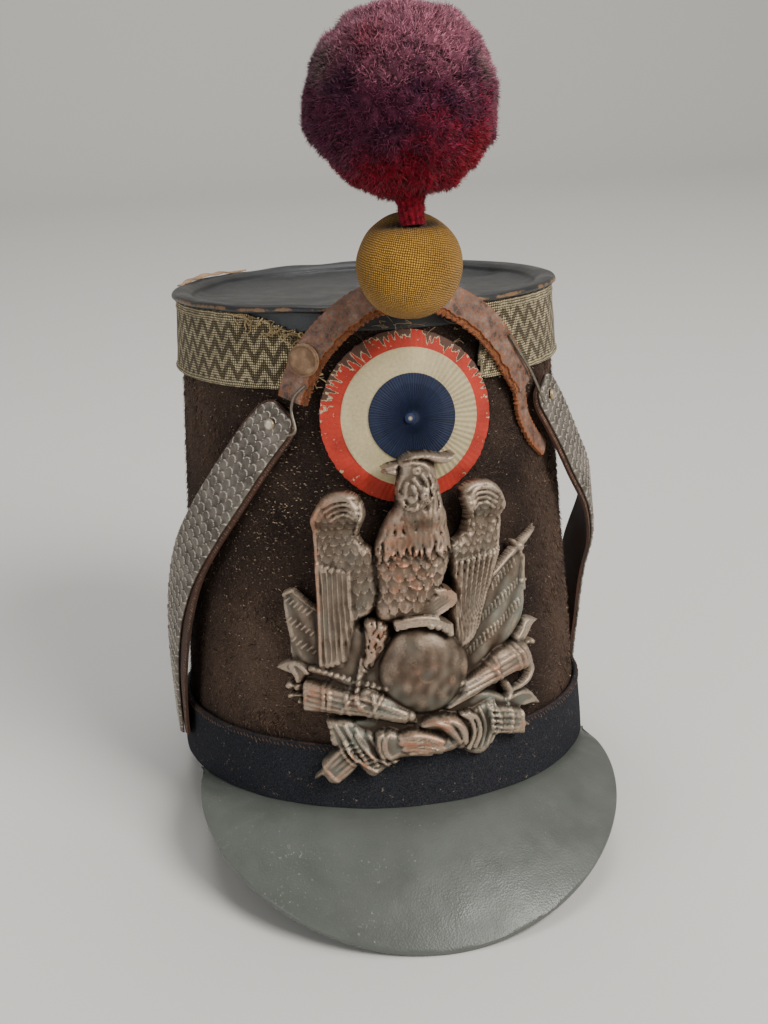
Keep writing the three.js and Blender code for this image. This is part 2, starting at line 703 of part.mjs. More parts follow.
// Stamped plate. Each form is a mound over an outline, with its points in hundredths of the plate's
// width and height, which rises to a spine. Base and rise are shares of the plate's relief.
const plateForms = {
  flagLeft: {
    outline: [[-47, 57], [-42, 59], [-34, 53], [-27, 47], [-24, 36], [-35, 35], [-41, 37], [-45, 46]],
    spine: [[-38, 50], [-32, 42]], base: 0, rise: 0.16,
  },
  flagRight: {
    outline: [[39, 65], [23, 55], [13, 44], [10, 32], [34, 38], [41, 45], [44, 62]],
    spine: [[36, 56], [22, 42]], base: 0, rise: 0.16,
  },
  poleRight: {
    outline: [[40, 67], [43, 67], [44, 50], [41, 42], [39, 43], [41, 50]],
    spine: [[41.5, 64], [41.5, 46]], base: 0, rise: 0.3,
  },
  spearRight: {
    outline: [[38.5, 66], [43, 69], [50, 72], [45, 65], [42, 62]],
    spine: [[41, 66], [46, 68.5]], base: 0, rise: 0.34,
  },
  wingLeft: {
    outline: [[-33.5, 83], [-30, 87.5], [-25, 89], [-19, 88], [-16, 83], [-16, 78], [-18, 74], [-15, 70],
      [-14, 58], [-20, 36], [-27, 35], [-34, 35], [-34, 56], [-34.5, 72]],
    spine: [[-25, 80], [-27, 42]], base: 0, rise: 0.4,
  },
  wingLobeLeft: {
    outline: [[-33, 82], [-29.5, 86.5], [-25, 88], [-19.5, 87], [-17, 82], [-18, 78], [-23, 79], [-28, 78],
      [-32, 72], [-33.5, 76]],
    spine: [[-29, 81], [-21, 83]], base: 0.2, rise: 0.42,
  },
  wingRight: {
    outline: [[15.5, 86], [23, 89.5], [29.5, 88], [32, 80.5], [30.5, 67], [26, 59], [22, 51.5], [16, 41],
      [9, 42], [9, 56], [9, 68], [11, 72], [18, 76], [17.5, 80]],
    spine: [[25, 79], [17, 52]], base: 0, rise: 0.4,
  },
  wingLobeRight: {
    outline: [[16.5, 85.5], [22.5, 88.5], [29, 87], [31, 80], [29.5, 73], [26, 76], [22, 80], [19, 80]],
    spine: [[22, 84.5], [27, 80]], base: 0.2, rise: 0.4,
  },
  body: {
    outline: [[-7, 84], [-12, 75], [-16, 66.5], [-16.5, 57], [-12, 49], [0, 45], [7, 52], [10.5, 61],
      [11.5, 70], [10, 78], [8.5, 84]],
    spine: [[1, 78], [-2, 57]], base: 0, rise: 0.95,
  },
  thigh: {
    outline: [[-17, 52], [-9, 52], [-9, 45], [-13, 36], [-14, 28], [-22, 28], [-21.5, 37], [-18.5, 45]],
    spine: [[-13.5, 48], [-18, 33]], base: 0, rise: 0.62,
  },
  tailCurl: {
    outline: [[-1, 45], [5, 48], [9.5, 53], [12, 58], [9, 59], [6.5, 56], [3, 54], [-1, 52]],
    spine: [[1, 49], [8.5, 55.5]], base: 0.2, rise: 0.62,
  },
  head: {
    outline: [[-7.4, 80], [-6.4, 88], [-5.5, 94], [-2, 97], [5, 97], [7.5, 93], [8, 86], [9, 80]],
    spine: [[0.5, 92], [1, 83]], base: 0, rise: 0.55,
  },
  beak: {
    outline: [[-4, 97.5], [-8, 97.5], [-11.5, 95.5], [-8, 94], [-4, 93]],
    spine: [[-5, 95.5], [-9, 95.7]], base: 0.1, rise: 0.3,
  },
  comb: {
    outline: [[-3, 97], [1, 99.5], [6, 100], [10, 97], [14, 98.5], [13.5, 96], [8, 94], [1, 94.5]],
    spine: [[2, 97], [10, 96]], base: 0.1, rise: 0.48,
  },
  wattle: {
    outline: [[-6, 92], [-6.5, 87], [-4, 84], [-1.5, 86], [-1, 91]],
    spine: [[-4, 90], [-4, 87]], base: 0.3, rise: 0.4,
  },
  globe: {
    outline: turns(18).map((turn) => [-0.3 + 15.6 * Math.cos(turn), 35 + 14.4 * Math.sin(turn)]),
    spine: [[-0.5, 35], [0, 35]], base: 0, rise: 1,
  },
  fascesLeft: {
    outline: [[-40, 32], [-20, 26.5], [-3, 22], [0, 17.5], [-22, 19], [-41, 23.5]],
    spine: [[-38, 27.5], [-5, 20]], base: 0, rise: 0.7,
  },
  axeLeft: {
    outline: [[-50, 35], [-45, 37.5], [-41, 37.5], [-35, 33], [-38, 28], [-44, 31]],
    spine: [[-45, 34.5], [-39, 33]], base: 0, rise: 0.3,
  },
  knobLeft: {
    outline: [[-47, 29.5], [-43, 30], [-39, 30], [-39, 25.5], [-43, 26], [-47, 26.5]],
    spine: [[-45, 28], [-40, 27.8]], base: 0, rise: 0.5,
  },
  fascesRight: {
    outline: [[6, 23], [20, 34], [37, 40], [44, 32], [26, 24.5], [14, 17]],
    spine: [[10, 21], [39, 35.5]], base: 0, rise: 0.7,
  },
  axeRight: {
    outline: [[47.5, 44], [41, 42.5], [34, 38], [36, 35], [43, 36.5], [46.5, 40]],
    spine: [[38, 38], [44, 41]], base: 0, rise: 0.3,
  },
  hookRight: {
    outline: [[43.5, 33], [44.5, 29], [41, 25], [33, 22], [33, 24.5], [39, 26.5], [41, 30], [40.5, 33]],
    spine: [[42, 31], [38, 25]], base: 0, rise: 0.28,
  },
  axeLow: {
    outline: [[28, 20], [35, 21.8], [40, 20.8], [46.5, 14.5], [36, 16.5], [28, 14]],
    spine: [[33, 18.5], [41, 18]], base: 0, rise: 0.32,
  },
  fascesLow: {
    outline: [[14, 16], [25, 16], [35, 15.5], [39.5, 12], [39.5, 9], [35.5, 6.8], [25, 6], [14, 5]],
    spine: [[18, 11], [36, 11]], base: 0, rise: 0.6,
  },
  fascesFoot: {
    outline: [[-37.5, 0.5], [-35.5, 6.5], [-29, 11], [-22, 15], [-16, 8], [-23, 4.5], [-30, 1.5],
      [-36, -0.5]],
    spine: [[-34, 3], [-22, 10.5]], base: 0, rise: 0.58,
  },
  drapeLeft: {
    outline: [[-33, 20], [-32, 11], [-22.5, 7], [-16.5, 1.5], [-9, 6], [-11, 16], [-22, 20]],
    spine: [[-28, 15], [-15, 8.5]], base: 0, rise: 0.5,
  },
  drapeRight: {
    outline: [[9, 16], [17, 5], [26, 8.5], [29, 20], [24, 25], [14, 21]],
    spine: [[15, 14], [24, 16]], base: 0, rise: 0.55,
  },
  cuffLeft: {
    outline: [[-18, 16], [-10, 17.5], [-8, 12], [-10, 6.5], [-18, 6.5]],
    spine: [[-15, 12], [-10, 12]], base: 0, rise: 0.8,
  },
  handLeft: {
    outline: [[-12, 16], [-4, 17.5], [3, 16.5], [8, 13], [8, 9.5], [2, 7.5], [-6, 7], [-12, 8]],
    spine: [[-9, 12], [4, 12]], base: 0, rise: 0.92,
  },
  handRight: {
    outline: [[-4, 17], [0, 20.5], [7, 20.5], [13, 17], [16, 12], [12, 9], [6, 11], [0, 13]],
    spine: [[2, 17], [12, 13]], base: 0.1, rise: 0.88,
  },
};

const arcRadius = footHalfWidth + bandFace;
const plateOff = bandFace + 2 * seat;
const cockadeFoot = cockadeHeight - cockadeRadius;

// The bird's head passes in front of the cockade
const headSpan = plateWidth * 0.15;
const liftStart = cockadeFoot - plateHeight * 0.07;
const liftStop = cockadeFoot - plateHeight * 0.015;
const cockadeStand = (headSpan * headSpan / 2) * (topHalfDepth / topHalfWidth ** 2 - 1 / cockadeBendRadius);
const headLift = seat + cockadeWall + cockadeDome + pleatDepth + seat
  + Math.max(cockadeStand, 0) - plateOff;

function onPlate(point, height) {
  const across = plateShift + (point[0] / 100) * plateWidth;
  const z = plateFoot + (point[1] / 100) * plateHeight;
  const lift = headLift * THREE.MathUtils.smoothstep(z, liftStart, liftStop);
  return side(across / arcRadius, z, plateOff + height * plateRelief + lift);
}

// Rings of a mound: how far out towards its outline, and the share of its rise
const moundRings = [
  { share: 1, rise: 0 },
  { share: 0.93, rise: 0.5 },
  { share: 0.5, rise: 0.9 },
];

function mound(form) {
  const [start, stop] = form.spine.map((point) => new THREE.Vector2(...point));
  const run = stop.clone().sub(start);
  const ring = (share, height) => form.outline.map((point) => {
    const free = new THREE.Vector2(...point);
    const t = THREE.MathUtils.clamp(free.clone().sub(start).dot(run) / run.lengthSq(), 0, 1);
    const near = start.clone().addScaledVector(run, t);
    const moved = near.lerp(free, share);
    return onPlate([moved.x, moved.y], form.base + height);
  });
  const middle = start.clone().lerp(stop, 0.5);
  const rings = moundRings.map((row) => ring(row.share, row.rise * form.rise));
  return capped(onPlate([middle.x, middle.y], form.base), rings,
    onPlate([middle.x, middle.y], form.base + form.rise));
}

add('rooster_plate', joined(Object.values(plateForms).map(mound)), bronze);

// Ball: it rests on the rim's front, with a gathered slit on the upper front
const rimFront = underTop(0, rimFace + seat * 3 + strapWall, 0);
const ballBelow = ballRise - tapeFace;
const ballOut = Math.sqrt(Math.max(ballRadius ** 2 - ballBelow ** 2, 0));
const ballCentre = new THREE.Vector3(plateShift * 0.8, rimFront.y - ballOut, rimFront.z + ballRise);

// The ball's gathered slit: its height on the front, half its breadth, and its depth as a share
const slitElevation = 52 * degree;
const slitSpread = 9 * degree;
const slitDepth = 0.05;

function direction(azimuth, elevation) {
  return new THREE.Vector3(
    Math.cos(elevation) * Math.sin(azimuth), -Math.cos(elevation) * Math.cos(azimuth), Math.sin(elevation));
}

function ball() {
  const place = (azimuth, elevation) => {
    const front = Math.max(Math.cos(azimuth), 0);
    const slit = Math.exp(-(((elevation - slitElevation) / slitSpread) ** 2)) * front;
    const radius = ballRadius * (1 - slitDepth * slit);
    return direction(azimuth, elevation).multiplyScalar(radius).add(ballCentre);
  };
  const levels = [-72, -54, -36, -18, 0, 18, 34, 44, 52, 62, 76];
  const rings = levels.map((level) => turns(18).map((turn) => place(turn, level * degree)));
  return capped(place(0, -90 * degree), rings, place(0, 90 * degree));
}

add('ball', ball(), mustard);

// Pompom: a head of wool with locks that stand out by turns, and a few longer tufts
const pompomCentre = direction(-10 * degree, 82 * degree).multiplyScalar(pompomRise).add(ballCentre);
const tufts = [
  { azimuth: -98, elevation: -7, spread: 16, rise: 0.05 },
  { azimuth: 82, elevation: 50, spread: 18, rise: 0.06 },
  { azimuth: 10, elevation: 80, spread: 26, rise: 0.02 },
  { azimuth: 60, elevation: -30, spread: 22, rise: 0.02 },
  { azimuth: 175, elevation: 20, spread: 30, rise: 0.03 },
];

function pompom() {
  const columns = 32;
  const rows = 18;
  const place = (azimuth, elevation, lock) => {
    const out = direction(azimuth, elevation);
    let share = 1;
    for (const tuft of tufts) {
      const away = out.angleTo(direction(tuft.azimuth * degree, tuft.elevation * degree));
      share += tuft.rise * Math.exp(-((away / (tuft.spread * degree)) ** 2));
    }
    const radius = pompomRadius * share - lockDepth * lock * Math.cos(elevation);
    return out.multiplyScalar(radius).add(pompomCentre);
  };
  const rings = [];
  for (let i = 1; i < rows; i++) {
    const elevation = mix(-90, 90, i / rows) * degree;
    rings.push(turns(columns).map((turn, j) => place(turn, elevation, (i + j) % 2)));
  }
  return capped(place(0, -90 * degree, 0), rings, place(0, 90 * degree, 0));
}

add('pompom', pompom(), wool);

// Neck: from the ball's slit up to the pompom, a little wider at its top. Its ends lie on both.
const neckFlare = [0.9, 1.15];

function neck() {
  const slit = direction(0, slitElevation).multiplyScalar(ballRadius + seat).add(ballCentre);
  const top = slit.clone().sub(pompomCentre).setLength(pompomRadius + seat).add(pompomCentre);
  const ringOn = (middle, flare, centre, radius, way) => turns(10).map((turn) => {
    const x = middle.x + neckRadius * flare * Math.cos(turn);
    const y = middle.y + neckRadius * flare * Math.sin(turn);
    const rise = (radius + seat) ** 2 - (x - centre.x) ** 2 - (y - centre.y) ** 2;
    return new THREE.Vector3(x, y, centre.z + way * Math.sqrt(Math.max(rise, 0)));
  });
  const low = ringOn(slit, neckFlare[0], ballCentre, ballRadius, 1);
  const high = ringOn(top, neckFlare[1], pompomCentre, pompomRadius, -1);
  const middle = low.map((point, i) => point.clone().lerp(high[i], 0.5));
  return capped(slit, [low, middle, high], top);
}

add('pompom_neck', neck(), crimson);

// Rest: the hat tips back until its back edge and the peak's tip stand on the floor
hat.rotation.x = -restTilt;
hat.updateMatrixWorld(true);
const box = new THREE.Box3().setFromObject(hat, true);
const centre = box.getCenter(new THREE.Vector3());
hat.position.set(-centre.x, -centre.y, -box.min.z);

export default hat;
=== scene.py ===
"""Looks of a soldier's shako, laid out as a Blender add-on and run as a script.

Sizes are millimetres in the hat's own frame, where it stands level and faces -Y. in_row() tips
points back as the hat rests and gives metres. Angles run from the front towards +X, in degrees.
"""

import json
import math

import bpy
import numpy as np
from mathutils import Matrix, Vector

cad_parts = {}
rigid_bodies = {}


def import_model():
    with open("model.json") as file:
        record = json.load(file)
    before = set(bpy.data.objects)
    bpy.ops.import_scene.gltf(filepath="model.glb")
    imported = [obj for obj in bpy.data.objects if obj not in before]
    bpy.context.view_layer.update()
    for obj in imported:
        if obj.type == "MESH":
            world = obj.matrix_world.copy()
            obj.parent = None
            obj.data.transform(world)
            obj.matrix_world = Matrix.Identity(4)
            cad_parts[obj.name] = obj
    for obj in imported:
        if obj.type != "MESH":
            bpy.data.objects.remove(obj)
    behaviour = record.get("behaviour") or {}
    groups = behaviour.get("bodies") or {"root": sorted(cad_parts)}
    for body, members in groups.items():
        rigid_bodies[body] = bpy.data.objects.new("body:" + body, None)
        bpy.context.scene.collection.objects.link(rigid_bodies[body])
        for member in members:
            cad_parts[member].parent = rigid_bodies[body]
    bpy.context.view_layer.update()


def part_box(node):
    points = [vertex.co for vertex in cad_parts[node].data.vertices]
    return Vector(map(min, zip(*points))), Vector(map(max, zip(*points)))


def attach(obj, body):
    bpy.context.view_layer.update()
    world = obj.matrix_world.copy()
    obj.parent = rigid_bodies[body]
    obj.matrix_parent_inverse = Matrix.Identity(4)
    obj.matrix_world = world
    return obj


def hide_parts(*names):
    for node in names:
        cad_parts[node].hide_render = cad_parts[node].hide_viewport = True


bl_info = {
    "name": "Shako looks",
    "version": (1, 0, 0),
    "blender": (4, 5, 0),
    "location": "View3D > Sidebar > Shako",
    "description": "Felt, leather, wool, cloth and stamped metal of a shako round its frame",
    "category": "Object",
}

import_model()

# Body of the hat, as in the frame's source
BODY_HEIGHT = 201.5
FOOT_HALVES = (86.5, 103.5)
TOP_HALVES = (75.5, 81.5)
TOP_FORWARD = 20.0
TOP_FALL = 0.06
FELT_WALL = 2.5
SEAT = 0.3
RIM_HEIGHT = 3.0
RIM_WIDTH = 1.8
SKIRT_DEPTH = 10.0
TAPE_HEIGHT = 31.6
TAPE_WALL = 0.9
BAND_HEIGHT = 25.7
BAND_WALL = 2.2
BAND_FACE = SEAT + BAND_WALL
SKIRT_FACE = SEAT + 1.0
TAPE_FACE = SKIRT_FACE + SEAT + TAPE_WALL
RIM_FACE = TAPE_FACE + RIM_WIDTH

# Peak
PEAK_HALF_ANGLE = 69.8
PEAK_WIDTH = 59.0
PEAK_SLOPE = 43.7
PEAK_ARCH = 0.05
PEAK_WALL = 2.5
HEEL_FLAT = 2.3
TIP_FLAT = 0.8

# Straps, chin strips, cockade, ball and pompom
STRAP_WIDTH = 12.5
STRAP_WALL = 2.4
RIVET_RADIUS = 6.2
SCALE_WIDTH = 23.0
BACKING_WALL = 1.6
COCKADE_RADIUS = 32.5
COCKADE_BLUE = 16.6
COCKADE_WHITE = 26.0
COCKADE_WALL = 1.2
COCKADE_DOME = 4.0
PLEAT_DEPTH = 0.7
COCKADE_STAND = 1.24
COCKADE_HEIGHT = 152.6
COCKADE_ANGLE = 1.4
BALL_RADIUS = 19.0
SLIT_ELEVATION = 52.0
POMPOM_RADIUS = 34.0
PLATE_OFF = BAND_FACE + 2 * SEAT
PLATE_ARC = 89.0
PLATE_SHEET = 0.55
GLOBE_RADIUS = 18.0
GLOBE_MIDDLE = (2.2, 56.2)

# How far the plate's top stands off, so that the rooster's head lies over the cockade's foot
PLATE_LIFT = SEAT * 2 + COCKADE_WALL + COCKADE_DOME + PLEAT_DEPTH + COCKADE_STAND - PLATE_OFF

# Camera fitted to the photo: its place and its axes in the hat's own frame, and its lens
CAMERA_PLACE = (-90.2747, -654.2217, 229.9675)
CAMERA_RIGHT = (0.9860096, -0.15702427, -0.05593244)
CAMERA_UP = (0.08537907, 0.18756843, 0.97853385)
CAMERA_LENS = 53.1

DENTS = np.array([(-62, 0.52, 26, -0.5), (58, 0.6, 24, -0.45), (150, 0.45, 34, -0.6), (-150, 0.62, 30, 0.4)])


def mix(a, b, share):
    """a + (b - a) * share."""
    return a + (b - a) * share


def ease(x, low, high):
    """3t^2 - 2t^3 with t running from 0 at low to 1 at high."""
    t = np.clip((np.asarray(x, float) - low) / (high - low), 0, 1)
    return t * t * (3 - 2 * t)


def unit(v):
    """v over its own length."""
    return v / np.maximum(np.linalg.norm(v, axis=-1, keepdims=True), 1e-12)


def stack(*parts):
    """Numbers of any matching shapes, broadcast and stacked as the last axis."""
    return np.stack(np.broadcast_arrays(*parts), -1).astype(float)


def ripple(points, size, seed, waves=14):
    """Smooth noise near -1..1: the mean of sine waves of about one size in seeded directions."""
    rng = np.random.default_rng(seed)
    flow = unit(rng.normal(size=(waves, points.shape[-1])))
    flow *= (2 * math.pi / size) * rng.uniform(0.6, 1.5, (waves, 1))
    phase = rng.uniform(0, 2 * math.pi, waves)
    return np.sin(points @ flow.T + phase).sum(-1) / math.sqrt(waves)


def dent_at(angle, share):
    """Sum of bell curves over angle and height, faded out at the foot and the top."""
    total = 0
    for where, height, spread, depth in DENTS:
        turn = (angle - where + 180) % 360 - 180
        total = total + FELT_WALL * depth * np.exp(-((turn / spread) ** 2) - ((share - height) / 0.25) ** 2)
    return total * np.sin(math.pi * np.clip(share, 0, 1)) ** 2


def side(angle, z, off, inset=1.0):
    """Point of the body: an oval that narrows and moves forward with height, off by a distance."""
    share = np.asarray(z, float) / BODY_HEIGHT
    reach = off + dent_at(angle, share) * inset
    half_width = mix(FOOT_HALVES[0], TOP_HALVES[0], share) * inset + reach
    half_depth = mix(FOOT_HALVES[1], TOP_HALVES[1], share) * inset + reach
    turn = np.radians(angle)
    return stack(half_width * np.sin(turn), -TOP_FORWARD * share - half_depth * np.cos(turn), z)


def outward(angle):
    """Level direction out of the foot's oval."""
    turn = np.radians(angle)
    return unit(stack(np.sin(turn) / FOOT_HALVES[0], -np.cos(turn) / FOOT_HALVES[1], 0 * turn))


def height_on_plane(angle, off, level, slope, inset=1.0):
    """Height where the side meets the plane z = level + slope * y."""
    front = np.cos(np.radians(angle))
    taper = (TOP_HALVES[1] - FOOT_HALVES[1]) * inset
    share = (level - slope * (FOOT_HALVES[1] * inset + off) * front) / (
        BODY_HEIGHT + slope * (TOP_FORWARD + taper * front))
    return share * BODY_HEIGHT


def under_top(angle, off, drop, inset=1.0):
    """Point of the side a drop below the sloping top."""
    return side(angle, height_on_plane(angle, off, BODY_HEIGHT - drop, TOP_FALL, inset), off, inset)


def peak_point(angle, share, depth):
    """Point of the peak: out along its slope by a share of its width, arched, and a depth below."""
    part = np.abs(angle) / PEAK_HALF_ANGLE
    reach = PEAK_WIDTH * np.maximum(np.maximum(1 - part ** 1.89, 0) ** 1.35, 0.015)
    fall = np.radians(PEAK_SLOPE) * np.maximum(1 - 1.31 * part * part, 0)
    arch = PEAK_ARCH * reach * 4 * share * (1 - share) - depth
    point = side(angle, 0 * np.asarray(angle, float), BAND_FACE)
    point = point + outward(angle) * (reach * share * np.cos(fall) + arch * np.sin(fall))[..., None]
    point[..., 2] += arch * np.cos(fall) - reach * share * np.sin(fall) - SEAT
    return point


# The floor under the resting hat runs through the back edge and the peak's tip
HEEL = side(180.0, 0.0, BAND_FACE)
TIP = peak_point(np.array(0.0), np.array(1.0), PEAK_WALL)
FLOOR_SLOPE = float((TIP[2] + TIP_FLAT - HEEL_FLAT) / (TIP[1] - HEEL[1]))
FLOOR_LEVEL = float(HEEL_FLAT - FLOOR_SLOPE * HEEL[1])
TILT = math.atan(FLOOR_SLOPE)


def tipped(v):
    """v turned about X by the tilt at which the hat rests."""
    v = np.asarray(v, float)
    y = v[..., 1] * math.cos(TILT) + v[..., 2] * math.sin(TILT)
    z = -v[..., 1] * math.sin(TILT) + v[..., 2] * math.cos(TILT)
    return stack(v[..., 0], y, z)


def foot_edge(angle, off):
    """Lower edge of the body's walls, pressed flat where the hat rests."""
    return np.maximum(height_on_plane(angle, off, FLOOR_LEVEL, FLOOR_SLOPE), 0)


def frame_shift():
    """How far the tipped hat is moved: the band's back edge lies on the floor at its box's end."""
    low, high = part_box("lower_band")
    back = tipped(side(180.0, foot_edge(180.0, BAND_FACE), BAND_FACE))
    return np.array([(low.x + high.x) * 500, high.y * 1000 - back[1], -back[2]])


SHIFT = frame_shift()


def in_row(points):
    """Millimetres in the hat's frame to metres on the floor."""
    return (tipped(points) + SHIFT) / 1000


def curve_through(points, t):
    """Centripetal Catmull-Rom curve through the points, at shares t of its spans."""
    points = np.asarray(points, float)
    padded = np.vstack([2 * points[0] - points[1], points, 2 * points[-1] - points[-2]])
    place = np.clip(np.asarray(t, float), 0, 1) * (len(points) - 1)
    i = np.minimum(place.astype(int), len(points) - 2)
    w = (place - i)[:, None]
    a, b, c, d = (padded[i + k] for k in range(4))
    gap = [np.maximum(np.sqrt(np.linalg.norm(q - p, axis=1, keepdims=True)), 1e-6)
           for p, q in ((a, b), (b, c), (c, d))]
    start = ((b - a) / gap[0] - (c - a) / (gap[0] + gap[1]) + (c - b) / gap[1]) * gap[1]
    stop = ((c - b) / gap[1] - (d - b) / (gap[1] + gap[2]) + (d - c) / gap[2]) * gap[1]
    return (b + start * w + (3 * (c - b) - 2 * start - stop) * w ** 2
            + (2 * (b - c) + start + stop) * w ** 3)


def strip_frames(rows, count):
    """Points, directions, widths along a strip laid on the body.

    Rows hold angle, height, distance off the felt, width and lean. The curve passes through them;
    its outward direction leans up and stands square to the curve, and across = out x along.
    """
    rows = np.asarray(rows, float)
    t = np.linspace(0, 1, count)
    knots = side(rows[:, 0], rows[:, 1], rows[:, 2])
    place = curve_through(knots, t)
    along = unit(curve_through(knots, t + 1e-4) - curve_through(knots, t - 1e-4))
    read = [np.interp(t, np.linspace(0, 1, len(rows)), rows[:, k]) for k in range(5)]
    out = outward(read[0])
    out[:, 2] = np.tan(np.radians(read[4]))
    out = unit(out - along * (out * along).sum(1, keepdims=True))
    across = np.cross(out, along)
    return {"t": t, "place": place, "along": along, "out": out, "across": across, "width": read[3]}


def on_strip(strip, across, out, along=0.0):
    """Points beside a strip's curve; across and out are arrays of one row per point of the curve."""
    shape = np.broadcast(np.atleast_2d(across), np.atleast_2d(out), np.atleast_2d(along)).shape
    parts = [np.broadcast_to(np.atleast_2d(x), shape)[..., None] for x in (across, out, along)]
    return (strip["place"][:, None] + strip["across"][:, None] * parts[0]
            + strip["out"][:, None] * parts[1] + strip["along"][:, None] * parts[2])


def drop_rows(rows, off_of, width):
    """Rows of angle, drop in tape heights, rise, lean and width share, as strip rows."""
    out = []
    for angle, drop, rise, lean, share in rows:
        z = height_on_plane(angle, 0, BODY_HEIGHT - drop * TAPE_HEIGHT, TOP_FALL)
        out.append((angle, float(z), off_of(rise), share * width, lean))
    return out


STRAP_ROWS = {
    side_name: drop_rows(rows, lambda rise: TAPE_FACE + SEAT * 1.5 + RIM_WIDTH * rise, STRAP_WIDTH)
    for side_name, rows in {
        "left": [(-1.5, -0.06, 1.2, 25, 0.9), (-9, 0.02, 1.2, 20, 1), (-17, 0.27, 1.3, 6, 1),
                 (-23, 0.56, 0.4, 0, 1), (-27, 0.87, 0, 0, 1), (-29, 1.12, 0, 0, 0.95)],
        "right": [(3, -0.06, 1.2, 25, 0.9), (12.5, 0.02, 1.2, 20, 1), (22, 0.28, 1.35, 6, 1),
                  (29.5, 0.6, 0.4, 0, 1), (35, 0.95, 0, 0, 1), (38, 1.2, 0, 0, 0.85)],
    }.items()
}
TAIL_ROWS = drop_rows(
    [(36, 1.05, 1.15, 0, 1), (37.5, 1.3, 0.75, 0, 1), (39.5, 1.55, 0.2, 0, 1), (44, 1.85, 0.1, 0, 1),
     (51, 2.1, 0.1, 0, 1)], lambda rise: SEAT + rise * TAPE_FACE, 7.0)
CHIN_ROWS = {
    side_name: [(angle, share * BODY_HEIGHT, max(TAPE_FACE, BAND_FACE) + SEAT + stand * BACKING_WALL,
                 width * SCALE_WIDTH, 0) for angle, share, stand, width in rows]
    for side_name, rows in {
        "left": [(-31.5, 0.78, 0, 0.68), (-40, 0.715, 0.2, 0.78), (-50, 0.63, 0.8, 0.87),
                 (-60, 0.545, 1.6, 0.94), (-70, 0.455, 2.2, 1), (-78, 0.35, 2.2, 1.02),
                 (-83, 0.23, 1.8, 1), (-85.5, 0.13, 0.8, 0.97), (-86.5, 0.06, 0, 0.95)],
        "right": [(46.5, 0.785, 0.2, 0.68), (53.5, 0.72, 1.2, 0.78), (62, 0.63, 3, 0.87),
                  (72, 0.545, 4.8, 0.94), (82, 0.455, 4.8, 1), (90, 0.35, 2.8, 1.02),
                  (95, 0.23, 1.6, 1), (98, 0.13, 0.6, 0.97), (99, 0.06, 0, 0.95)],
    }.items()
}


def way(azimuth, elevation):
    """Direction from an azimuth and an elevation in degrees."""
    a, e = np.radians(azimuth), np.radians(elevation)
    return stack(np.cos(e) * np.sin(a), -np.cos(e) * np.cos(a), np.sin(e))


RIM_FRONT = under_top(0.0, RIM_FACE + SEAT * 3 + STRAP_WALL, 0.0)
BALL_CENTRE = np.array([2.0, RIM_FRONT[1] - math.sqrt(BALL_RADIUS ** 2 - (14 - TAPE_FACE) ** 2),
                        RIM_FRONT[2] + 14])
POMPOM_CENTRE = BALL_CENTRE + 56 * way(-10, 82)


def net(rows, columns, round_rows, round_columns):
    """Corners of the quads of a grid, which may run round in either direction."""
    i = np.arange(rows if round_rows else rows - 1)[:, None]
    j = np.arange(columns if round_columns else columns - 1)[None]
    k, m = (i + 1) % rows, (j + 1) % columns
    return np.stack(np.broadcast_arrays(i * columns + j, i * columns + m, k * columns + m,
                                        k * columns + j), -1).reshape(-1, 4)


def volume_of(points, faces):
    """Six times the signed volume under the faces."""
    total = 0.0
    for part in faces:
        for k in range(1, part.shape[1] - 1):
            a, b, c = points[part[:, 0]], points[part[:, k]], points[part[:, k + 1]]
            total += float((a * np.cross(b, c)).sum())
    return total


def loops(sections, closing="caps"):
    """Closed body through sections, each a loop of points.

    closing is "round" where the last section meets the first, "caps" where each end is a fan
    round the loop's middle, or "poles" where the first and the last section are single points.
    """
    rows, size = sections.shape[:2]
    points = sections.reshape(-1, 3)
    quads = net(rows, size, closing == "round", True)
    if closing == "round":
        return points, [quads]
    ends = np.array([sections[0].mean(0), sections[-1].mean(0)])
    if closing == "poles":
        points = np.vstack([points[size:-size], ends])
        quads = net(rows - 2, size, False, True)
        rows -= 2
    else:
        points = np.vstack([points, ends])
    j = np.arange(size)
    k = (j + 1) % size
    first, last = len(points) - 2, len(points) - 1
    base = (rows - 1) * size
    fans = np.vstack([np.stack([0 * j + first, k, j], 1), np.stack([0 * j + last, base + j, base + k], 1)])
    return points, [quads, fans]


def tube(path, radius, sides=10):
    """Round tube: circles square to the path, carried along it without turning."""
    along = unit(np.gradient(path, axis=0))
    first = unit(np.cross(along[0], [0.31, 0.52, 0.8]))
    ups = np.empty_like(path)
    ups[0] = first
    for i in range(1, len(path)):
        ups[i] = unit(ups[i - 1] - along[i] * (ups[i - 1] @ along[i]))
    aside = np.cross(along, ups)
    turn = np.linspace(0, 2 * math.pi, sides, endpoint=False)
    radius = np.broadcast_to(radius, len(path))[:, None, None]
    return (path[:, None] + radius * (ups[:, None] * np.cos(turn)[:, None]
                                      + aside[:, None] * np.sin(turn)[:, None]))


def turned(profile, centre, axis, sides):
    """Rings of a turned piece: profile of radius and height about an axis."""
    profile = np.asarray(profile, float)
    axis = unit(np.asarray(axis, float))
    first = unit(np.cross(axis, [0.2, 0.3, 0.93]))
    second = np.cross(axis, first)
    turn = np.linspace(0, 2 * math.pi, sides, endpoint=False)[None, :, None]
    spoke = first * np.cos(turn) + second * np.sin(turn)
    return centre + spoke * profile[:, 0, None, None] + axis * profile[:, 1, None, None]


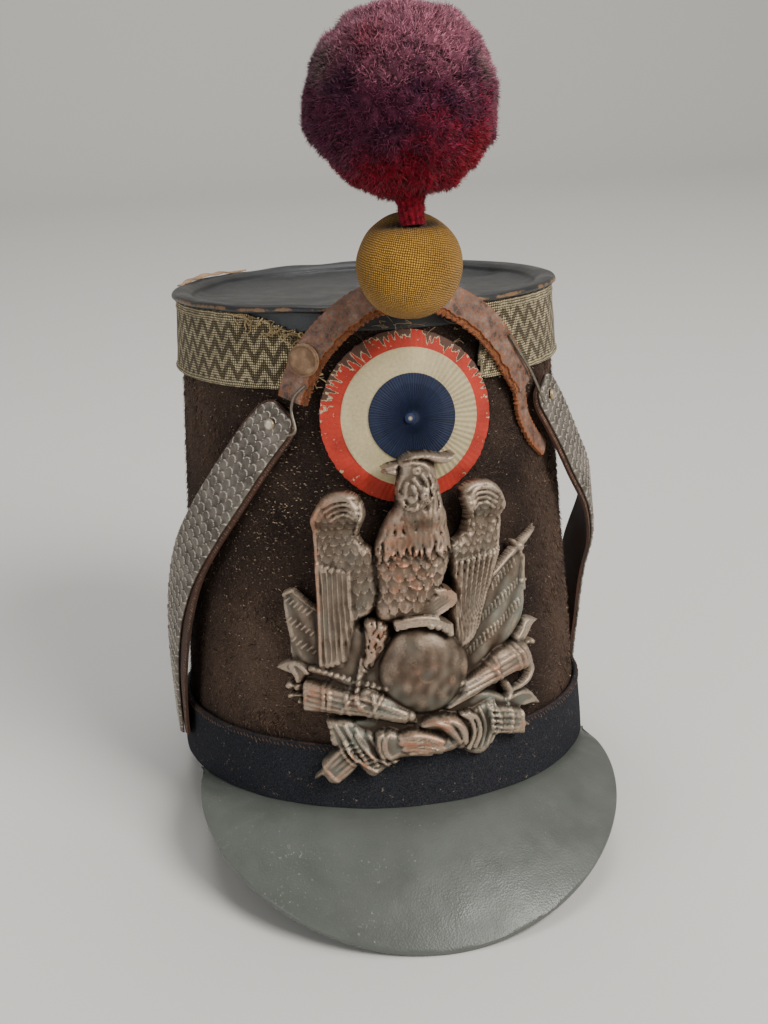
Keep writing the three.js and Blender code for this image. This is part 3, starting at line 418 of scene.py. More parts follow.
def spikes(roots, tips, width):
    """Many closed three-sided spikes, as points and faces."""
    along = unit(tips - roots)
    first = unit(np.cross(along, [0.3, 0.5, 0.81]))
    second = np.cross(along, first)
    turn = np.radians([0, 120, 240])[None, :, None]
    width = np.broadcast_to(width, len(roots))[:, None, None]
    ring = roots[:, None] + width * (first[:, None] * np.cos(turn) + second[:, None] * np.sin(turn))
    points = np.concatenate([ring, tips[:, None]], 1).reshape(-1, 3)
    faces = np.array([(0, 2, 1), (0, 1, 3), (1, 2, 3), (2, 0, 3)])
    return points, [(faces[None] + 4 * np.arange(len(roots))[:, None, None]).reshape(-1, 3)]


def many(bodies):
    """Several bodies as one set of points and faces."""
    points, quads, base = [], {}, 0
    for some, faces in bodies:
        if volume_of(some - some.mean(0), faces) < 0:
            faces = [part[:, ::-1] for part in faces]
        points.append(some)
        for part in faces:
            quads.setdefault(part.shape[1], []).append(part + base)
        base += len(some)
    return np.vstack(points), [np.vstack(parts) for parts in quads.values()]


def add_piece(name, body, material, replaces=(), uv=None, values=None, sharp=55.0):
    """Puts a body into a mesh and rides it on the hat.

    uv is one pair per point, in millimetres; values are named numbers or colours per point.
    """
    points, faces = body
    if volume_of(points - points.mean(0), faces) < 0:
        faces = [part[:, ::-1] for part in faces]
    corners = np.concatenate([part.ravel() for part in faces]).astype(np.int32)
    sizes = np.concatenate([np.full(len(part), part.shape[1]) for part in faces])
    mesh = bpy.data.meshes.new(name)
    mesh.vertices.add(len(points))
    mesh.vertices.foreach_set("co", in_row(points).astype(np.float32).ravel())
    mesh.loops.add(len(corners))
    mesh.loops.foreach_set("vertex_index", corners)
    mesh.polygons.add(len(sizes))
    mesh.polygons.foreach_set("loop_start", (np.cumsum(sizes) - sizes).astype(np.int32))
    mesh.update(calc_edges=True)
    if uv is not None:
        pairs = np.asarray(uv, float)[corners] / 1000
        mesh.uv_layers.new(name="UVMap").data.foreach_set("uv", pairs.astype(np.float32).ravel())
    for key, value in (values or {}).items():
        value = np.asarray(value, np.float32)
        if value.ndim == 1:
            mesh.attributes.new(key, "FLOAT", "POINT").data.foreach_set("value", value)
        else:
            full = np.concatenate([value, np.ones((len(value), 1), np.float32)], 1)
            mesh.attributes.new(key, "FLOAT_COLOR", "POINT").data.foreach_set("color", full.ravel())
    mesh.polygons.foreach_set("use_smooth", np.ones(len(sizes), bool))
    if sharp:
        mesh.set_sharp_from_angle(angle=math.radians(sharp))
    mesh.materials.append(material)
    made = bpy.data.objects.new(name, mesh)
    bpy.context.scene.collection.objects.link(made)
    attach(made, "root")
    if replaces:
        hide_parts(*replaces)
    return made


def linear(code):
    """Linear colour of an sRGB hex value."""
    code = code.lstrip("#")
    parts = np.array([int(code[i:i + 2], 16) / 255 for i in (0, 2, 4)])
    parts = np.where(parts <= 0.04045, parts / 12.92, ((parts + 0.055) / 1.055) ** 2.4)
    return tuple(float(x) for x in parts)


def fill(tree, made, inputs):
    """Fills a node's inputs with numbers or links; a node stands for its first output in use."""
    for key, value in inputs.items():
        if isinstance(value, bpy.types.Node):
            value = next(socket for socket in value.outputs if socket.enabled)
        if isinstance(value, bpy.types.NodeSocket):
            tree.links.new(value, made.inputs[key])
        else:
            made.inputs[key].default_value = value


def node(tree, kind, inputs=None, stops=None, **settings):
    """Adds a shader node with its settings, its inputs and the stops of its ramp."""
    made = tree.nodes.new("ShaderNode" + kind)
    for key, value in settings.items():
        setattr(made, key, value)
    fill(tree, made, inputs or {})
    if stops:
        ramp = made.color_ramp
        while len(ramp.elements) < len(stops):
            ramp.elements.new(1)
        for element, (place, tone) in zip(ramp.elements, stops):
            element.position = place
            element.color = (*tone, 1) if isinstance(tone, tuple) else (tone, tone, tone, 1)
    return made


def begin(name, roughness, metallic=0.0, sheen=0.0, shine=0.5):
    """A new material with its tree, its shader and its object coordinates."""
    material = bpy.data.materials.new(name)
    material.use_nodes = True
    tree = material.node_tree
    shader = tree.nodes["Principled BSDF"]
    fill(tree, shader, {"Roughness": roughness, "Metallic": metallic, "Sheen Weight": sheen,
                        "Specular IOR Level": shine})
    place = node(tree, "TexCoord").outputs["Object"]
    return material, tree, shader, place


# A pattern's scale is 1000 over the size of its grain in millimetres; grain too fine to show in the
# render is drawn as coarse as it needs to show
def beaver_felt(looks):
    """Beaver felt, blocked and brushed: dark brown-black and matt, its lit hairs painted as highlights, with
    pale level specks in its nap that are partly dust and partly painted glints.
    """
    material, tree, shader, place = begin("Beaver felt, blocked and brushed", 0.95, shine=0.12)
    # brown carries the felt's brown patches and, along its right side, partly painted light
    brown = node(tree, "Attribute", attribute_name="brown").outputs["Fac"]
    combed = node(tree, "Mapping", {"Vector": place, "Scale": (1, 1, 1.9)})
    # Real hairs lie under 0.1 mm apart, so locks of 0.8 mm stand for them
    hairs = node(tree, "TexNoise", {"Vector": combed, "Scale": 1000 / 0.8, "Detail": 6, "Roughness": 0.8,
                                    "Distortion": 0.6})
    patches = node(tree, "TexNoise", {"Vector": place, "Scale": 1000 / 22.2, "Detail": 3})
    patchy = node(tree, "Math", {0: brown, 1: patches}, operation="MULTIPLY")
    share = node(tree, "Math", {0: patchy, 1: 0.6}, operation="MULTIPLY")
    base = node(tree, "Mix", {0: share, 6: (*looks.felt_dark, 1), 7: (*looks.felt_brown, 1)},
                data_type="RGBA")
    lit = node(tree, "ValToRGB", {0: hairs}, stops=[(0.42, 0.0), (0.64, 1.0)])
    shown = node(tree, "Math", {0: brown, 1: 0.75, 2: 0.3}, operation="MULTIPLY_ADD")
    seen = node(tree, "Math", {0: lit, 1: shown}, operation="MULTIPLY")
    haired = node(tree, "Mix", {0: seen, 6: base, 7: (*looks.felt_hair, 1)}, data_type="RGBA")
    # Pale specks stretched level: partly dust, partly painted glints
    level = node(tree, "Mapping", {"Vector": place, "Scale": (1, 1, 2.6)})
    dust_and_glints = node(tree, "TexNoise", {"Vector": level, "Scale": 1000 / 1.5625, "Detail": 3, "Roughness": 0.6})
    specks = node(tree, "ValToRGB", {0: dust_and_glints}, stops=[(0.65, 0.0), (0.72, 0.8)])
    final = node(tree, "Mix", {0: specks, 6: haired, 7: (*looks.felt_dust_and_glint, 1)},
                 data_type="RGBA")
    bump = node(tree, "Bump", {"Height": hairs, "Distance": 0.0008, "Strength": 1.0})
    fill(tree, shader, {"Base Color": final, "Normal": bump})
    return material


def tinted_hair(name, roughness=0.8, sheen=0.2):
    """Hair or thread whose colour is carried by each fibre, a little uneven along it."""
    material, tree, shader, place = begin(name, roughness, sheen=sheen, shine=0.15)
    paint = node(tree, "Attribute", attribute_name="paint").outputs["Color"]
    # The fibre's own scales are too fine to show, so flecks of 0.67 mm stand for them
    fleck = node(tree, "TexNoise", {"Vector": place, "Scale": 1000 / 0.6667, "Detail": 2}).outputs["Fac"]
    shade = node(tree, "MapRange", {0: fleck, 1: 0.3, 2: 0.7, 3: 0.75, 4: 1.2})
    final = node(tree, "Mix", {0: 1.0, 6: paint, 7: shade}, data_type="RGBA", blend_type="MULTIPLY")
    fill(tree, shader, {"Base Color": final})
    return material


def tanned_leather(name, dark, light, worn, grain_mm, roughness, wear="worn", cracks_mm=0.0, patch_mm=16.0):
    """Tanned leather: fine grain, patchy dressing, and paler where the dressing has worn away. Old dry
    hide is crazed too: fine lines between cells of some size, broken by the patches."""
    material, tree, shader, place = begin(name, roughness)
    cells = node(tree, "TexVoronoi", {"Vector": place, "Scale": 1000 / grain_mm})
    patches = node(tree, "TexNoise",
                   {"Vector": place, "Scale": 1000 / patch_mm, "Detail": 6, "Roughness": 0.65})
    # Pores of about 0.2 mm, drawn as specks of 1.4 mm
    fine = node(tree, "TexNoise", {"Vector": place, "Scale": 1000 / 1.4286, "Detail": 4, "Roughness": 0.7})
    patch = node(tree, "ValToRGB", {0: patches}, stops=[(0.35, 0.0), (0.7, 1.0)])
    base = node(tree, "Mix", {0: patch, 6: (*dark, 1), 7: (*light, 1)}, data_type="RGBA")
    edge = node(tree, "Attribute", attribute_name=wear).outputs["Fac"]
    rough = node(tree, "Math", {0: edge, 1: fine}, operation="MULTIPLY")
    bare = node(tree, "ValToRGB", {0: rough}, stops=[(0.3, 0.0), (0.42, 1.0)])
    rubbed = node(tree, "Mix", {0: bare, 6: base, 7: (*worn, 1)}, data_type="RGBA")
    final = rubbed
    if cracks_mm:
        push = node(tree, "VectorMath", {0: fine.outputs["Color"], 1: (0.0012, 0.0012, 0.0012)},
                    operation="MULTIPLY")
        bent = node(tree, "VectorMath", {0: place, 1: push}, operation="ADD")
        web = node(tree, "TexVoronoi", {"Vector": bent, "Scale": 1000 / cracks_mm},
                   feature="DISTANCE_TO_EDGE").outputs["Distance"]
        line = node(tree, "MapRange", {0: web, 1: 0.02, 2: 0.12, 3: 1.0, 4: 0.0})
        broken = node(tree, "ValToRGB", {0: fine}, stops=[(0.42, 0.15), (0.56, 1.0)])
        crack = node(tree, "Math", {0: line, 1: broken}, operation="MULTIPLY")
        final = node(tree, "Mix", {0: crack, 6: final, 7: (*worn, 1)}, data_type="RGBA")
    gloss = node(tree, "MapRange", {0: patches, 1: 0.3, 2: 0.7, 3: roughness - 0.1, 4: roughness + 0.12})
    low = node(tree, "Bump", {"Height": cells, "Distance": 0.00012, "Strength": 0.5})
    high = node(tree, "Bump", {"Height": fine, "Distance": 0.00012, "Strength": 0.5,
                               "Normal": low})
    fill(tree, shader, {"Base Color": final, "Roughness": gloss, "Normal": high})
    return material


def woven(name, dark, light, pitch_mm, zigzag=None, roughness=0.9):
    """Plain weave on the piece's own UV: crossing threads of one pitch, with a zigzag woven in.

    The threads are |sin| waves along u and v that rise by turns; the zigzag is a triangle wave of
    u added to v, and its light threads show where the sum falls in the first part of each repeat.
    """
    material, tree, shader, place = begin(name, roughness, sheen=0.1, shine=0.15)
    uv = node(tree, "UVMap", uv_map="UVMap")
    shake = node(tree, "TexNoise", {"Vector": uv, "Scale": 1000 / 4.545, "Detail": 2})
    nudge = node(tree, "VectorMath", {0: shake.outputs["Color"], 1: (0.0009, 0.0009, 0)},
                 operation="MULTIPLY")
    moved = node(tree, "VectorMath", {0: uv, 1: nudge}, operation="ADD")
    parts = node(tree, "SeparateXYZ", {0: moved}).outputs
    turns = 1000 * math.pi / pitch_mm
    waves = []
    for part in (parts[0], parts[1]):
        scaled = node(tree, "Math", {0: part, 1: turns}, operation="MULTIPLY")
        waves.append(node(tree, "Math", {0: scaled}, operation="SINE"))
    crossing = node(tree, "Math", {0: waves[0], 1: waves[1]}, operation="MULTIPLY")
    over = node(tree, "Math", {0: crossing}, operation="ABSOLUTE")
    # Loose fibre on the threads, 0.05 mm fine and drawn at 0.45 mm
    fuzz = node(tree, "TexNoise", {"Vector": place, "Scale": 1000 / 0.4545, "Detail": 3}).outputs["Fac"]
    height = node(tree, "Math", {0: over, 1: fuzz}, operation="ADD")
    tone = node(tree, "Math", {0: over, 1: fuzz}, operation="MULTIPLY")
    if zigzag:
        period, rise, repeat = zigzag
        run = node(tree, "Math", {0: parts[0], 1: period / 2000}, operation="PINGPONG")
        lift = node(tree, "Math", {0: run, 1: 2 * rise / period}, operation="MULTIPLY")
        line = node(tree, "Math", {0: lift, 1: parts[1]}, operation="ADD")
        cycle = node(tree, "Math", {0: line, 1: repeat / 2000}, operation="PINGPONG")
        band = node(tree, "MapRange", {0: cycle, 1: repeat / 5600, 2: repeat / 3400, 3: 1.0, 4: 0.0})
        trim = node(tree, "Attribute", attribute_name="trim").outputs["Fac"]
        pale = node(tree, "Math", {0: band, 1: trim}, operation="MAXIMUM")
        gain = node(tree, "Math", {0: pale, 1: 0.78, 2: 0.44}, operation="MULTIPLY_ADD")
        tone = node(tree, "Math", {0: tone, 1: gain}, operation="MULTIPLY")
    ramp = node(tree, "ValToRGB", {0: tone},
                stops=[(0.0, tuple(x * 0.45 for x in dark)), (0.1, tuple(dark)), (0.5, tuple(light))])
    grime = node(tree, "TexNoise", {"Vector": place, "Scale": 1000 / 14.28, "Detail": 4})
    dirt = node(tree, "MapRange", {0: grime, 1: 0.3, 2: 0.7, 3: 0.7, 4: 1.15})
    soiled = node(tree, "Mix", {0: 1.0, 6: ramp, 7: dirt}, data_type="RGBA", blend_type="MULTIPLY")
    # groove_shade darkens the cloth towards near black: painted shade
    groove_shade = node(tree, "Attribute", attribute_name="groove_shade").outputs["Fac"]
    final = node(tree, "Mix", {0: groove_shade, 6: soiled, 7: (*[x * 0.18 for x in dark], 1)},
                 data_type="RGBA")
    bump = node(tree, "Bump", {"Height": height, "Distance": pitch_mm * 0.0004, "Strength": 0.8})
    fill(tree, shader, {"Base Color": final, "Normal": bump})
    return material


def cut_velvet(looks):
    """Cotton velvet, cut pile: near black, with a soft sheen at grazing light and lint on it."""
    material, tree, shader, place = begin("Cotton velvet, cut pile", 1.0, sheen=0.12, shine=0.1)
    shader.inputs["Sheen Roughness"].default_value = 0.4
    shader.inputs["Sheen Tint"].default_value = (*looks.velvet_sheen, 1)
    # Tufts of cut pile, 0.2 mm apart and drawn at 0.6 mm, and lint of 2.4 mm
    pile = node(tree, "TexNoise", {"Vector": place, "Scale": 1000 / 0.625, "Detail": 4, "Roughness": 0.7})
    lint = node(tree, "TexNoise", {"Vector": place, "Scale": 1000 / 2.381, "Detail": 5, "Roughness": 0.8})
    specks = node(tree, "ValToRGB", {0: lint}, stops=[(0.62, 0.0), (0.7, 0.75)])
    edge = node(tree, "Attribute", attribute_name="worn").outputs["Fac"]
    worn = node(tree, "Mix", {0: edge, 6: (*looks.velvet, 1), 7: (*looks.velvet_edge, 1)}, data_type="RGBA")
    shade = node(tree, "MapRange", {0: pile, 1: 0.35, 2: 0.65, 3: 0.35, 4: 1.5})
    deep = node(tree, "Mix", {0: 1.0, 6: worn, 7: shade}, data_type="RGBA", blend_type="MULTIPLY")
    final = node(tree, "Mix", {0: specks, 6: deep, 7: (*looks.felt_dust_and_glint, 1)},
                 data_type="RGBA")
    bump = node(tree, "Bump", {"Height": pile, "Distance": 0.0008, "Strength": 1.0})
    fill(tree, shader, {"Base Color": final, "Normal": bump})
    return material


def aged_metal(name, base, dull, bright, roughness, metallic, rubbed_to=None, green=None):
    """Old metal: dull in its hollows, patchy, and rubbed bright on its ridges.

    ridge and hollow_and_shade are the piece's own measures of how far a place stands up and how far it lies
    deep; on the plate the second also carries painted shade. Where its copper share is high the ridges are
    rubbed to another tone, and its green share tints it.
    """
    material, tree, shader, place = begin(name, roughness, metallic)
    # Clouds of tarnish of 7.7 mm, and pits of 0.2 mm drawn at 0.9 mm
    patches = node(tree, "TexNoise", {"Vector": place, "Scale": 1000 / 7.69, "Detail": 6, "Roughness": 0.7})
    pits = node(tree, "TexNoise", {"Vector": place, "Scale": 1000 / 0.9091, "Detail": 5, "Roughness": 0.75})
    patch = node(tree, "ValToRGB", {0: patches}, stops=[(0.38, 0.0), (0.66, 1.0)])
    colour = node(tree, "Mix", {0: patch, 6: (*base, 1), 7: (*dull, 1)}, data_type="RGBA")
    if green:
        held = node(tree, "Attribute", attribute_name="green").outputs["Fac"]
        fleck = node(tree, "MapRange", {0: patches, 1: 0.35, 2: 0.6, 3: 0.4, 4: 1.0})
        share = node(tree, "Math", {0: held, 1: fleck}, operation="MULTIPLY")
        colour = node(tree, "Mix", {0: share, 6: colour, 7: (*green, 1)}, data_type="RGBA")
    shine = (*bright, 1)
    if rubbed_to:
        held = node(tree, "Attribute", attribute_name="copper").outputs["Fac"]
        shine = node(tree, "Mix", {0: held, 6: (*bright, 1), 7: (*rubbed_to, 1)}, data_type="RGBA")
        tinge = node(tree, "Math", {0: held, 1: 0.25}, operation="MULTIPLY")
        colour = node(tree, "Mix", {0: tinge, 6: colour, 7: (*rubbed_to, 1)}, data_type="RGBA")
    deep = node(tree, "Attribute", attribute_name="hollow_and_shade").outputs["Fac"]
    dark = node(tree, "Mix", {0: deep, 6: colour, 7: (*[x * 0.42 for x in dull], 1)}, data_type="RGBA")
    high = node(tree, "Attribute", attribute_name="ridge").outputs["Fac"]
    broken = node(tree, "Math", {0: high, 1: pits}, operation="MULTIPLY")
    rubbed = node(tree, "ValToRGB", {0: broken}, stops=[(0.2, 0.0), (0.6, 1.0)])
    final = node(tree, "Mix", {0: rubbed, 6: dark, 7: shine}, data_type="RGBA")
    gloss = node(tree, "MapRange", {0: pits, 1: 0.3, 2: 0.7, 3: roughness - 0.12, 4: roughness + 0.15})
    bump = node(tree, "Bump", {"Height": pits, "Distance": 0.0002, "Strength": 0.55})
    fill(tree, shader, {"Base Color": final, "Roughness": gloss, "Normal": bump})
    return material


def painted_disc(looks):
    """Pleated paper and cloth, painted in rings: chalky, chipped along the rim, and darker in its pleats,
    which is painted shade.
    """
    material, tree, shader, place = begin("Pleated cockade, painted", 0.75)
    paint = node(tree, "Attribute", attribute_name="paint").outputs["Color"]
    fine = node(tree, "TexNoise", {"Vector": place, "Scale": 1000 / 1.111, "Detail": 5, "Roughness": 0.7})
    # Flakes of old paint, about 2 mm
    flecks = node(tree, "TexNoise", {"Vector": place, "Scale": 1000 / 1.923, "Detail": 4, "Roughness": 0.75})
    shade = node(tree, "MapRange", {0: fine, 1: 0.3, 2: 0.7, 3: 0.82, 4: 1.12})
    base = node(tree, "Mix", {0: 1.0, 6: paint, 7: shade}, data_type="RGBA", blend_type="MULTIPLY")
    chip = node(tree, "Attribute", attribute_name="chip").outputs["Fac"]
    torn = node(tree, "Math", {0: chip, 1: flecks}, operation="ADD")
    half = node(tree, "Math", {0: torn, 1: 0.5}, operation="MULTIPLY")
    bare = node(tree, "ValToRGB", {0: half}, stops=[(0.46, 0.0), (0.475, 1.0)])
    under = node(tree, "ValToRGB", {0: half},
                 stops=[(0.475, tuple(looks.chip_ground)), (0.5, tuple(looks.chip_ground)),
                        (0.52, tuple(looks.chip_edge))])
    final = node(tree, "Mix", {0: bare, 6: base, 7: under}, data_type="RGBA")
    layer = node(tree, "Math", {0: fine, 1: bare}, operation="SUBTRACT")
    bump = node(tree, "Bump", {"Height": layer, "Distance": 0.0003, "Strength": 0.6})
    fill(tree, shader, {"Base Color": final, "Normal": bump})
    return material


def studio_paper(name, pale):
    """Matt paper: one pale tone."""
    material, tree, shader, place = begin(name, 0.9)
    shader.inputs["Base Color"].default_value = (*pale, 1)
    return material


def build_felt(looks):
    """Body wall and its nap: the wall is a loop of outer and inner height lines carried round."""
    angle = np.linspace(0, 360, 300, endpoint=False)[:, None]
    share = np.concatenate([np.linspace(0, 1, 64), np.linspace(1, 0, 26)])[None]
    off = np.concatenate([np.zeros(64), np.full(26, -FELT_WALL)])[None]
    low = foot_edge(angle, off)
    high = height_on_plane(angle, off, BODY_HEIGHT - RIM_HEIGHT - SEAT, TOP_FALL)
    z = mix(low, high, share)
    off = off + np.where(off == 0, 0.14 * ripple(side(angle, z, 0), 26, 3) - 0.16, 0)
    points, faces = loops(side(angle, z, off), "round")
    brown = felt_brown_and_lit(np.broadcast_to(angle, z.shape).ravel(), z.ravel())
    add_piece("felt_body", (points, faces), beaver_felt(looks), ["felt_crown"],
              values={"brown": brown})
    rng = np.random.default_rng(11)
    count = int(looks.nap_count)
    a, drop = rng.uniform(-180, 180, count), rng.uniform(0, 1, count)
    open_front = np.abs(a) < 30
    top = height_on_plane(a, 0, BODY_HEIGHT - np.where(open_front, SKIRT_DEPTH, TAPE_HEIGHT), TOP_FALL)
    z = mix(BAND_HEIGHT + 1, top, drop)
    swirl = 0.5 + 1.3 * ripple(side(a, z, 0), 45, 5) + rng.normal(0, 0.6, count)
    length = looks.nap_length * 1000 * rng.uniform(0.5, 1.3, count)
    roots = side(a, z, -0.5)
    tips = side(a + np.degrees(length * np.sin(swirl) / 92), z - length * np.cos(swirl),
                rng.uniform(0.05, 1.0, count) ** 2 * 1.1)
    dark, mid, pale, hair = tones(looks, "felt_dark", "felt_brown", "felt_dust_and_glint", "felt_hair")
    warm = felt_brown_and_lit(a, z)
    glint_zone = np.exp(-((a + 38) / 28) ** 2 - ((z - 122) / 46) ** 2)
    clump = 1 + 0.35 * ripple(side(a, z, 0), 7, 6)
    tone = np.clip(rng.beta(0.8, 2.0, count) * (1 + 1.1 * warm - 0.5 * glint_zone) * clump, 0, 1)[:, None]
    tone = np.where(rng.uniform(size=(count, 1)) < 0.3 * warm[:, None], 1.0, tone)
    tint = mix(dark, mix(hair, mid * 1.35, warm[:, None] * 0.6), tone)
    # Painted glints: pale hairs laid level, most of them in the glint zone
    glint = rng.uniform(size=count) < 0.012 + 0.42 * glint_zone
    tips[glint] = side(a[glint] + np.degrees(rng.uniform(0.7, 1.6, glint.sum()) / 92),
                       z[glint] + rng.normal(0, 0.2, glint.sum()), 0.9)
    roots[glint] = side(a[glint], z[glint], 0.5)
    tint = np.where(glint[:, None], pale * rng.uniform(0.3, 1.3, (count, 1)) ** 1.5, tint)
    wide = np.where(glint, rng.uniform(0.16, 0.3, count), rng.uniform(0.08, 0.17, count) * (1 + warm))
    points, faces = spikes(roots, tips, wide)
    # Beaver hair, brushed down: fine, dark and dry. Single pale hairs, most of them at the upper left, are
    # painted glints, and along the right side the hairs are paler and browner, partly as painted light
    add_piece("felt_nap", (points, faces), tinted_hair("Beaver nap, brushed", 0.7, 0.0),
              values={"paint": np.repeat(tint, 4, 0)}, sharp=None)


def felt_brown_and_lit(angle, z):
    """How brown the felt is, 0..1: patches low at the left and along the right side, with noise. Along the
    right side the brown is partly the felt's own and partly painted light.
    """
    left = np.exp(-((angle + 42 + 360 * (angle < -222)) / 26) ** 2 - ((z - 52) / 30) ** 2)
    left = left + np.exp(-((angle - 318) / 26) ** 2 - ((z - 52) / 30) ** 2)
    left = left + 0.75 * np.exp(-((np.mod(angle, 360) - 282) / 22) ** 2 - ((z - 158) / 34) ** 2)
    right = ease(angle, 34, 60) * (1 - ease(angle, 150, 200))
    worn = 0.5 + 0.5 * ripple(stack(angle * 1.5, z), 30, 8)
    return np.clip(left * 1.1 + right * 0.65 + 0.25 * worn, 0, 1.1)


TOP_ROWS = [(0, 0, 6), (0, 0, 6), (0.2, 0, 6.1), (0.45, 0, 6), (0.65, 0, 5.7), (0.8, 0, 5.1), (0.9, 0, 4.3),
            (0.96, -2, 3.4), (1, -4.2, 2.0), (1, -2.4, 0.9), (1, -0.8, 0.3), (1, 1.0, 0), (1, 2.4, 0.1),
            (1, 3.5, 0.4), (1, 4.1, 1.0), (1, 4.3, 1.7), (1, 4.1, 2.3), (1, 3.4, 2.8), (1, 2.4, 3.0),
            (1, 1.35, 3.2), (1, 1.3, 4.5), (1, 1.3, 7), (1, 1.3, 10), (1, 0.3, 10), (1, 0.3, 3),
            (1, -2.8, 3), (1, -6.5, 5), (0.8, 0, 7.1), (0.45, 0, 8), (0, 0, 8), (0, 0, 8)]


def build_top(looks):
    """Leather top: rows of inset, distance and drop, each a ring, from the middle over the rim, down
    the skirt and back beneath; the dish sags and the rim waves a little."""
    rows = np.array(TOP_ROWS, float)
    steps = np.interp(np.linspace(0, 1, 118), np.linspace(0, 1, len(rows)), np.arange(len(rows)))
    inset, off, drop = (np.interp(steps, np.arange(len(rows)), rows[:, k])[:, None] for k in range(3))
    angle = np.linspace(0, 360, 220, endpoint=False)[None]
    points = under_top(angle, off, drop, inset)
    upper = (steps < 12)[:, None] * (1 - ease(inset, 0.9, 1) * 0.7)
    sway = ripple(points[..., :2], 38, 21) * 0.45 + ripple(points[..., :2], 12, 22) * 0.12
    points[..., 2] += sway * upper
    rim = ((steps >= 10) & (steps < 20))[:, None]
    points[..., 2] += rim * (0.18 * ripple(points, 24, 23) - 0.1)
    body = loops(points, "poles")
    edge = np.exp(-((steps - 14.8) / 1.5) ** 2)[:, None] * (1.0 + 0 * angle)
    skirt = ((steps > 19.5) & (steps < 22.2))[:, None] * 0.35
    torn = edge * (0.8 + 0.5 * ripple(points, 9, 24)) + skirt
    values = {"worn": ends_last(np.clip(torn, 0, 1.2))}
    # Calf, blacked and waxed: near black, a low gloss in patches, tan where its rim is rubbed bare
    material = tanned_leather("Calf leather, blacked and waxed", looks.black_leather, looks.black_leather_lit,
                              looks.tan_edge, 0.9, 0.42)
    add_piece("top_leather_skin", body, material, ["top_leather"], values=values)
    build_peeled(looks)


def ends_last(grid):
    """Values of a grid of rings with poles, in the order in which loops() lists its points."""
    return np.concatenate([grid[1:-1].ravel(), grid[0, :1], grid[-1, :1]])


def capped(grid, end=0.0):
    """Values of a grid of sections with capped ends, in the order in which loops() lists its points."""
    return np.concatenate([grid.ravel(), [end, end]])


def tones(looks, *names):
    """Colours of the panel as arrays."""
    return [np.array(getattr(looks, name)[:]) for name in names]


def build_peeled(looks):
    """Strip of the top's dressing that has peeled up along the left of the rim: a thin ribbon whose
    height over the rim is a bow of its length, with ragged sides."""
    share = np.linspace(0, 1, 60)
    angle = mix(-104, -146, share)
    ragged = ripple(share[:, None] * 40, 5, 31)
    wide = 2.6 * np.sin(math.pi * share) ** 0.4 + 0.4 * ragged
    lift = 0.25 + 1.4 * np.sin(math.pi * share) ** 2 + 0.25 * ripple(share[:, None] * 40, 9, 32)
    inner = under_top(angle, 3.2 - wide, -lift * 0.6)
    outer = under_top(angle, 3.6 + 0.2 * ragged, -lift)
    low = np.array([0, 0, 0.35])
    section = np.stack([inner, (inner + outer) / 2 + [0, 0, 0.3], outer, outer - low,
                        (inner + outer) / 2 - low * 0.3, inner - low], 1)
    # The same calf's flesh side: pale tan, matt and dry
    material = tanned_leather("Calf leather, flesh side", looks.tan_edge, looks.tan_light, looks.tan_light,
                              0.7, 0.85)
    add_piece("peeled_edge", loops(section), material)


TEAR = ([-45, -37.5, -30, -24], [0, 0.05, 0.17, 0.22])


def build_tape(looks):
    """Woven tape: a loop of its front and back carried round from one torn end to the other. Its front
    stands up by two ribs under its upper edge and by a cord along its lower edge."""
    angle = np.linspace(24, 336, 760)[:, None]
    v = np.concatenate([np.linspace(0, 1, 40), np.linspace(1, 0, 8)])[None]
    front = np.concatenate([np.ones(40), np.zeros(8)])[None]
    fall = np.interp(angle - 360, *TEAR) * TAPE_HEIGHT
    left_end = ease(angle, 312, 334)
    ragged = ripple(angle[..., None] * 1.4, 3.2, 41) + 0.6 * ripple(angle[..., None] * 1.4, 1.3, 42)
    top = RIM_HEIGHT + SEAT + fall + left_end * (1.0 + 0.9 * ragged)
    drop = mix(top, TAPE_HEIGHT + 0.3 * ripple(angle[..., None] * 1.4, 60, 43), v)
    frayed = ripple(v[..., None] * 31, 2.4, 44) * 1.1
    shown = angle + frayed * (ease(angle, 332, 336) - (1 - ease(angle, 24, 26)))
    mm = drop - RIM_HEIGHT
    ribs = 0.38 * (np.exp(-((mm - 1.2) / 0.55) ** 2) + np.exp(-((mm - 3.1) / 0.55) ** 2)) * (1 - left_end)
    cord = 0.55 * np.sqrt(np.clip(1 - ((mm - 27.6) / 1.0) ** 2, 0, 1))
    sag = 0.12 * ripple(stack(shown * 1.4, mm), 16, 45)
    off = np.where(front > 0, TAPE_FACE - 0.12 + sag + ribs + cord, TAPE_FACE - TAPE_WALL)
    points, faces = loops(under_top(shown, off, drop))
    trim = np.clip(np.exp(-((mm - 1.2) / 0.6) ** 2) + np.exp(-((mm - 3.1) / 0.6) ** 2)
                   + 0.75 * (np.abs(mm - 27.6) < 1.1), 0, 1) * front * (1 - left_end)
    uv = stack(angle * 1.4, mm + 0 * angle)
    # Worsted wool tape, woven on a narrow loom: dull, ribbed, with a paler zigzag of raised threads
    add_piece("woven_tape", (points, faces),
              woven("Woollen tape, woven with a zigzag", looks.tape_dark, looks.tape_light, 0.95,
                    (8.6, 6.5, 7.4)), ["galon"],
              uv=np.vstack([uv.reshape(-1, 2), np.zeros((2, 2))]),
              values={"trim": capped(trim), "groove_shade": np.zeros(len(points))})
    build_threads(looks)


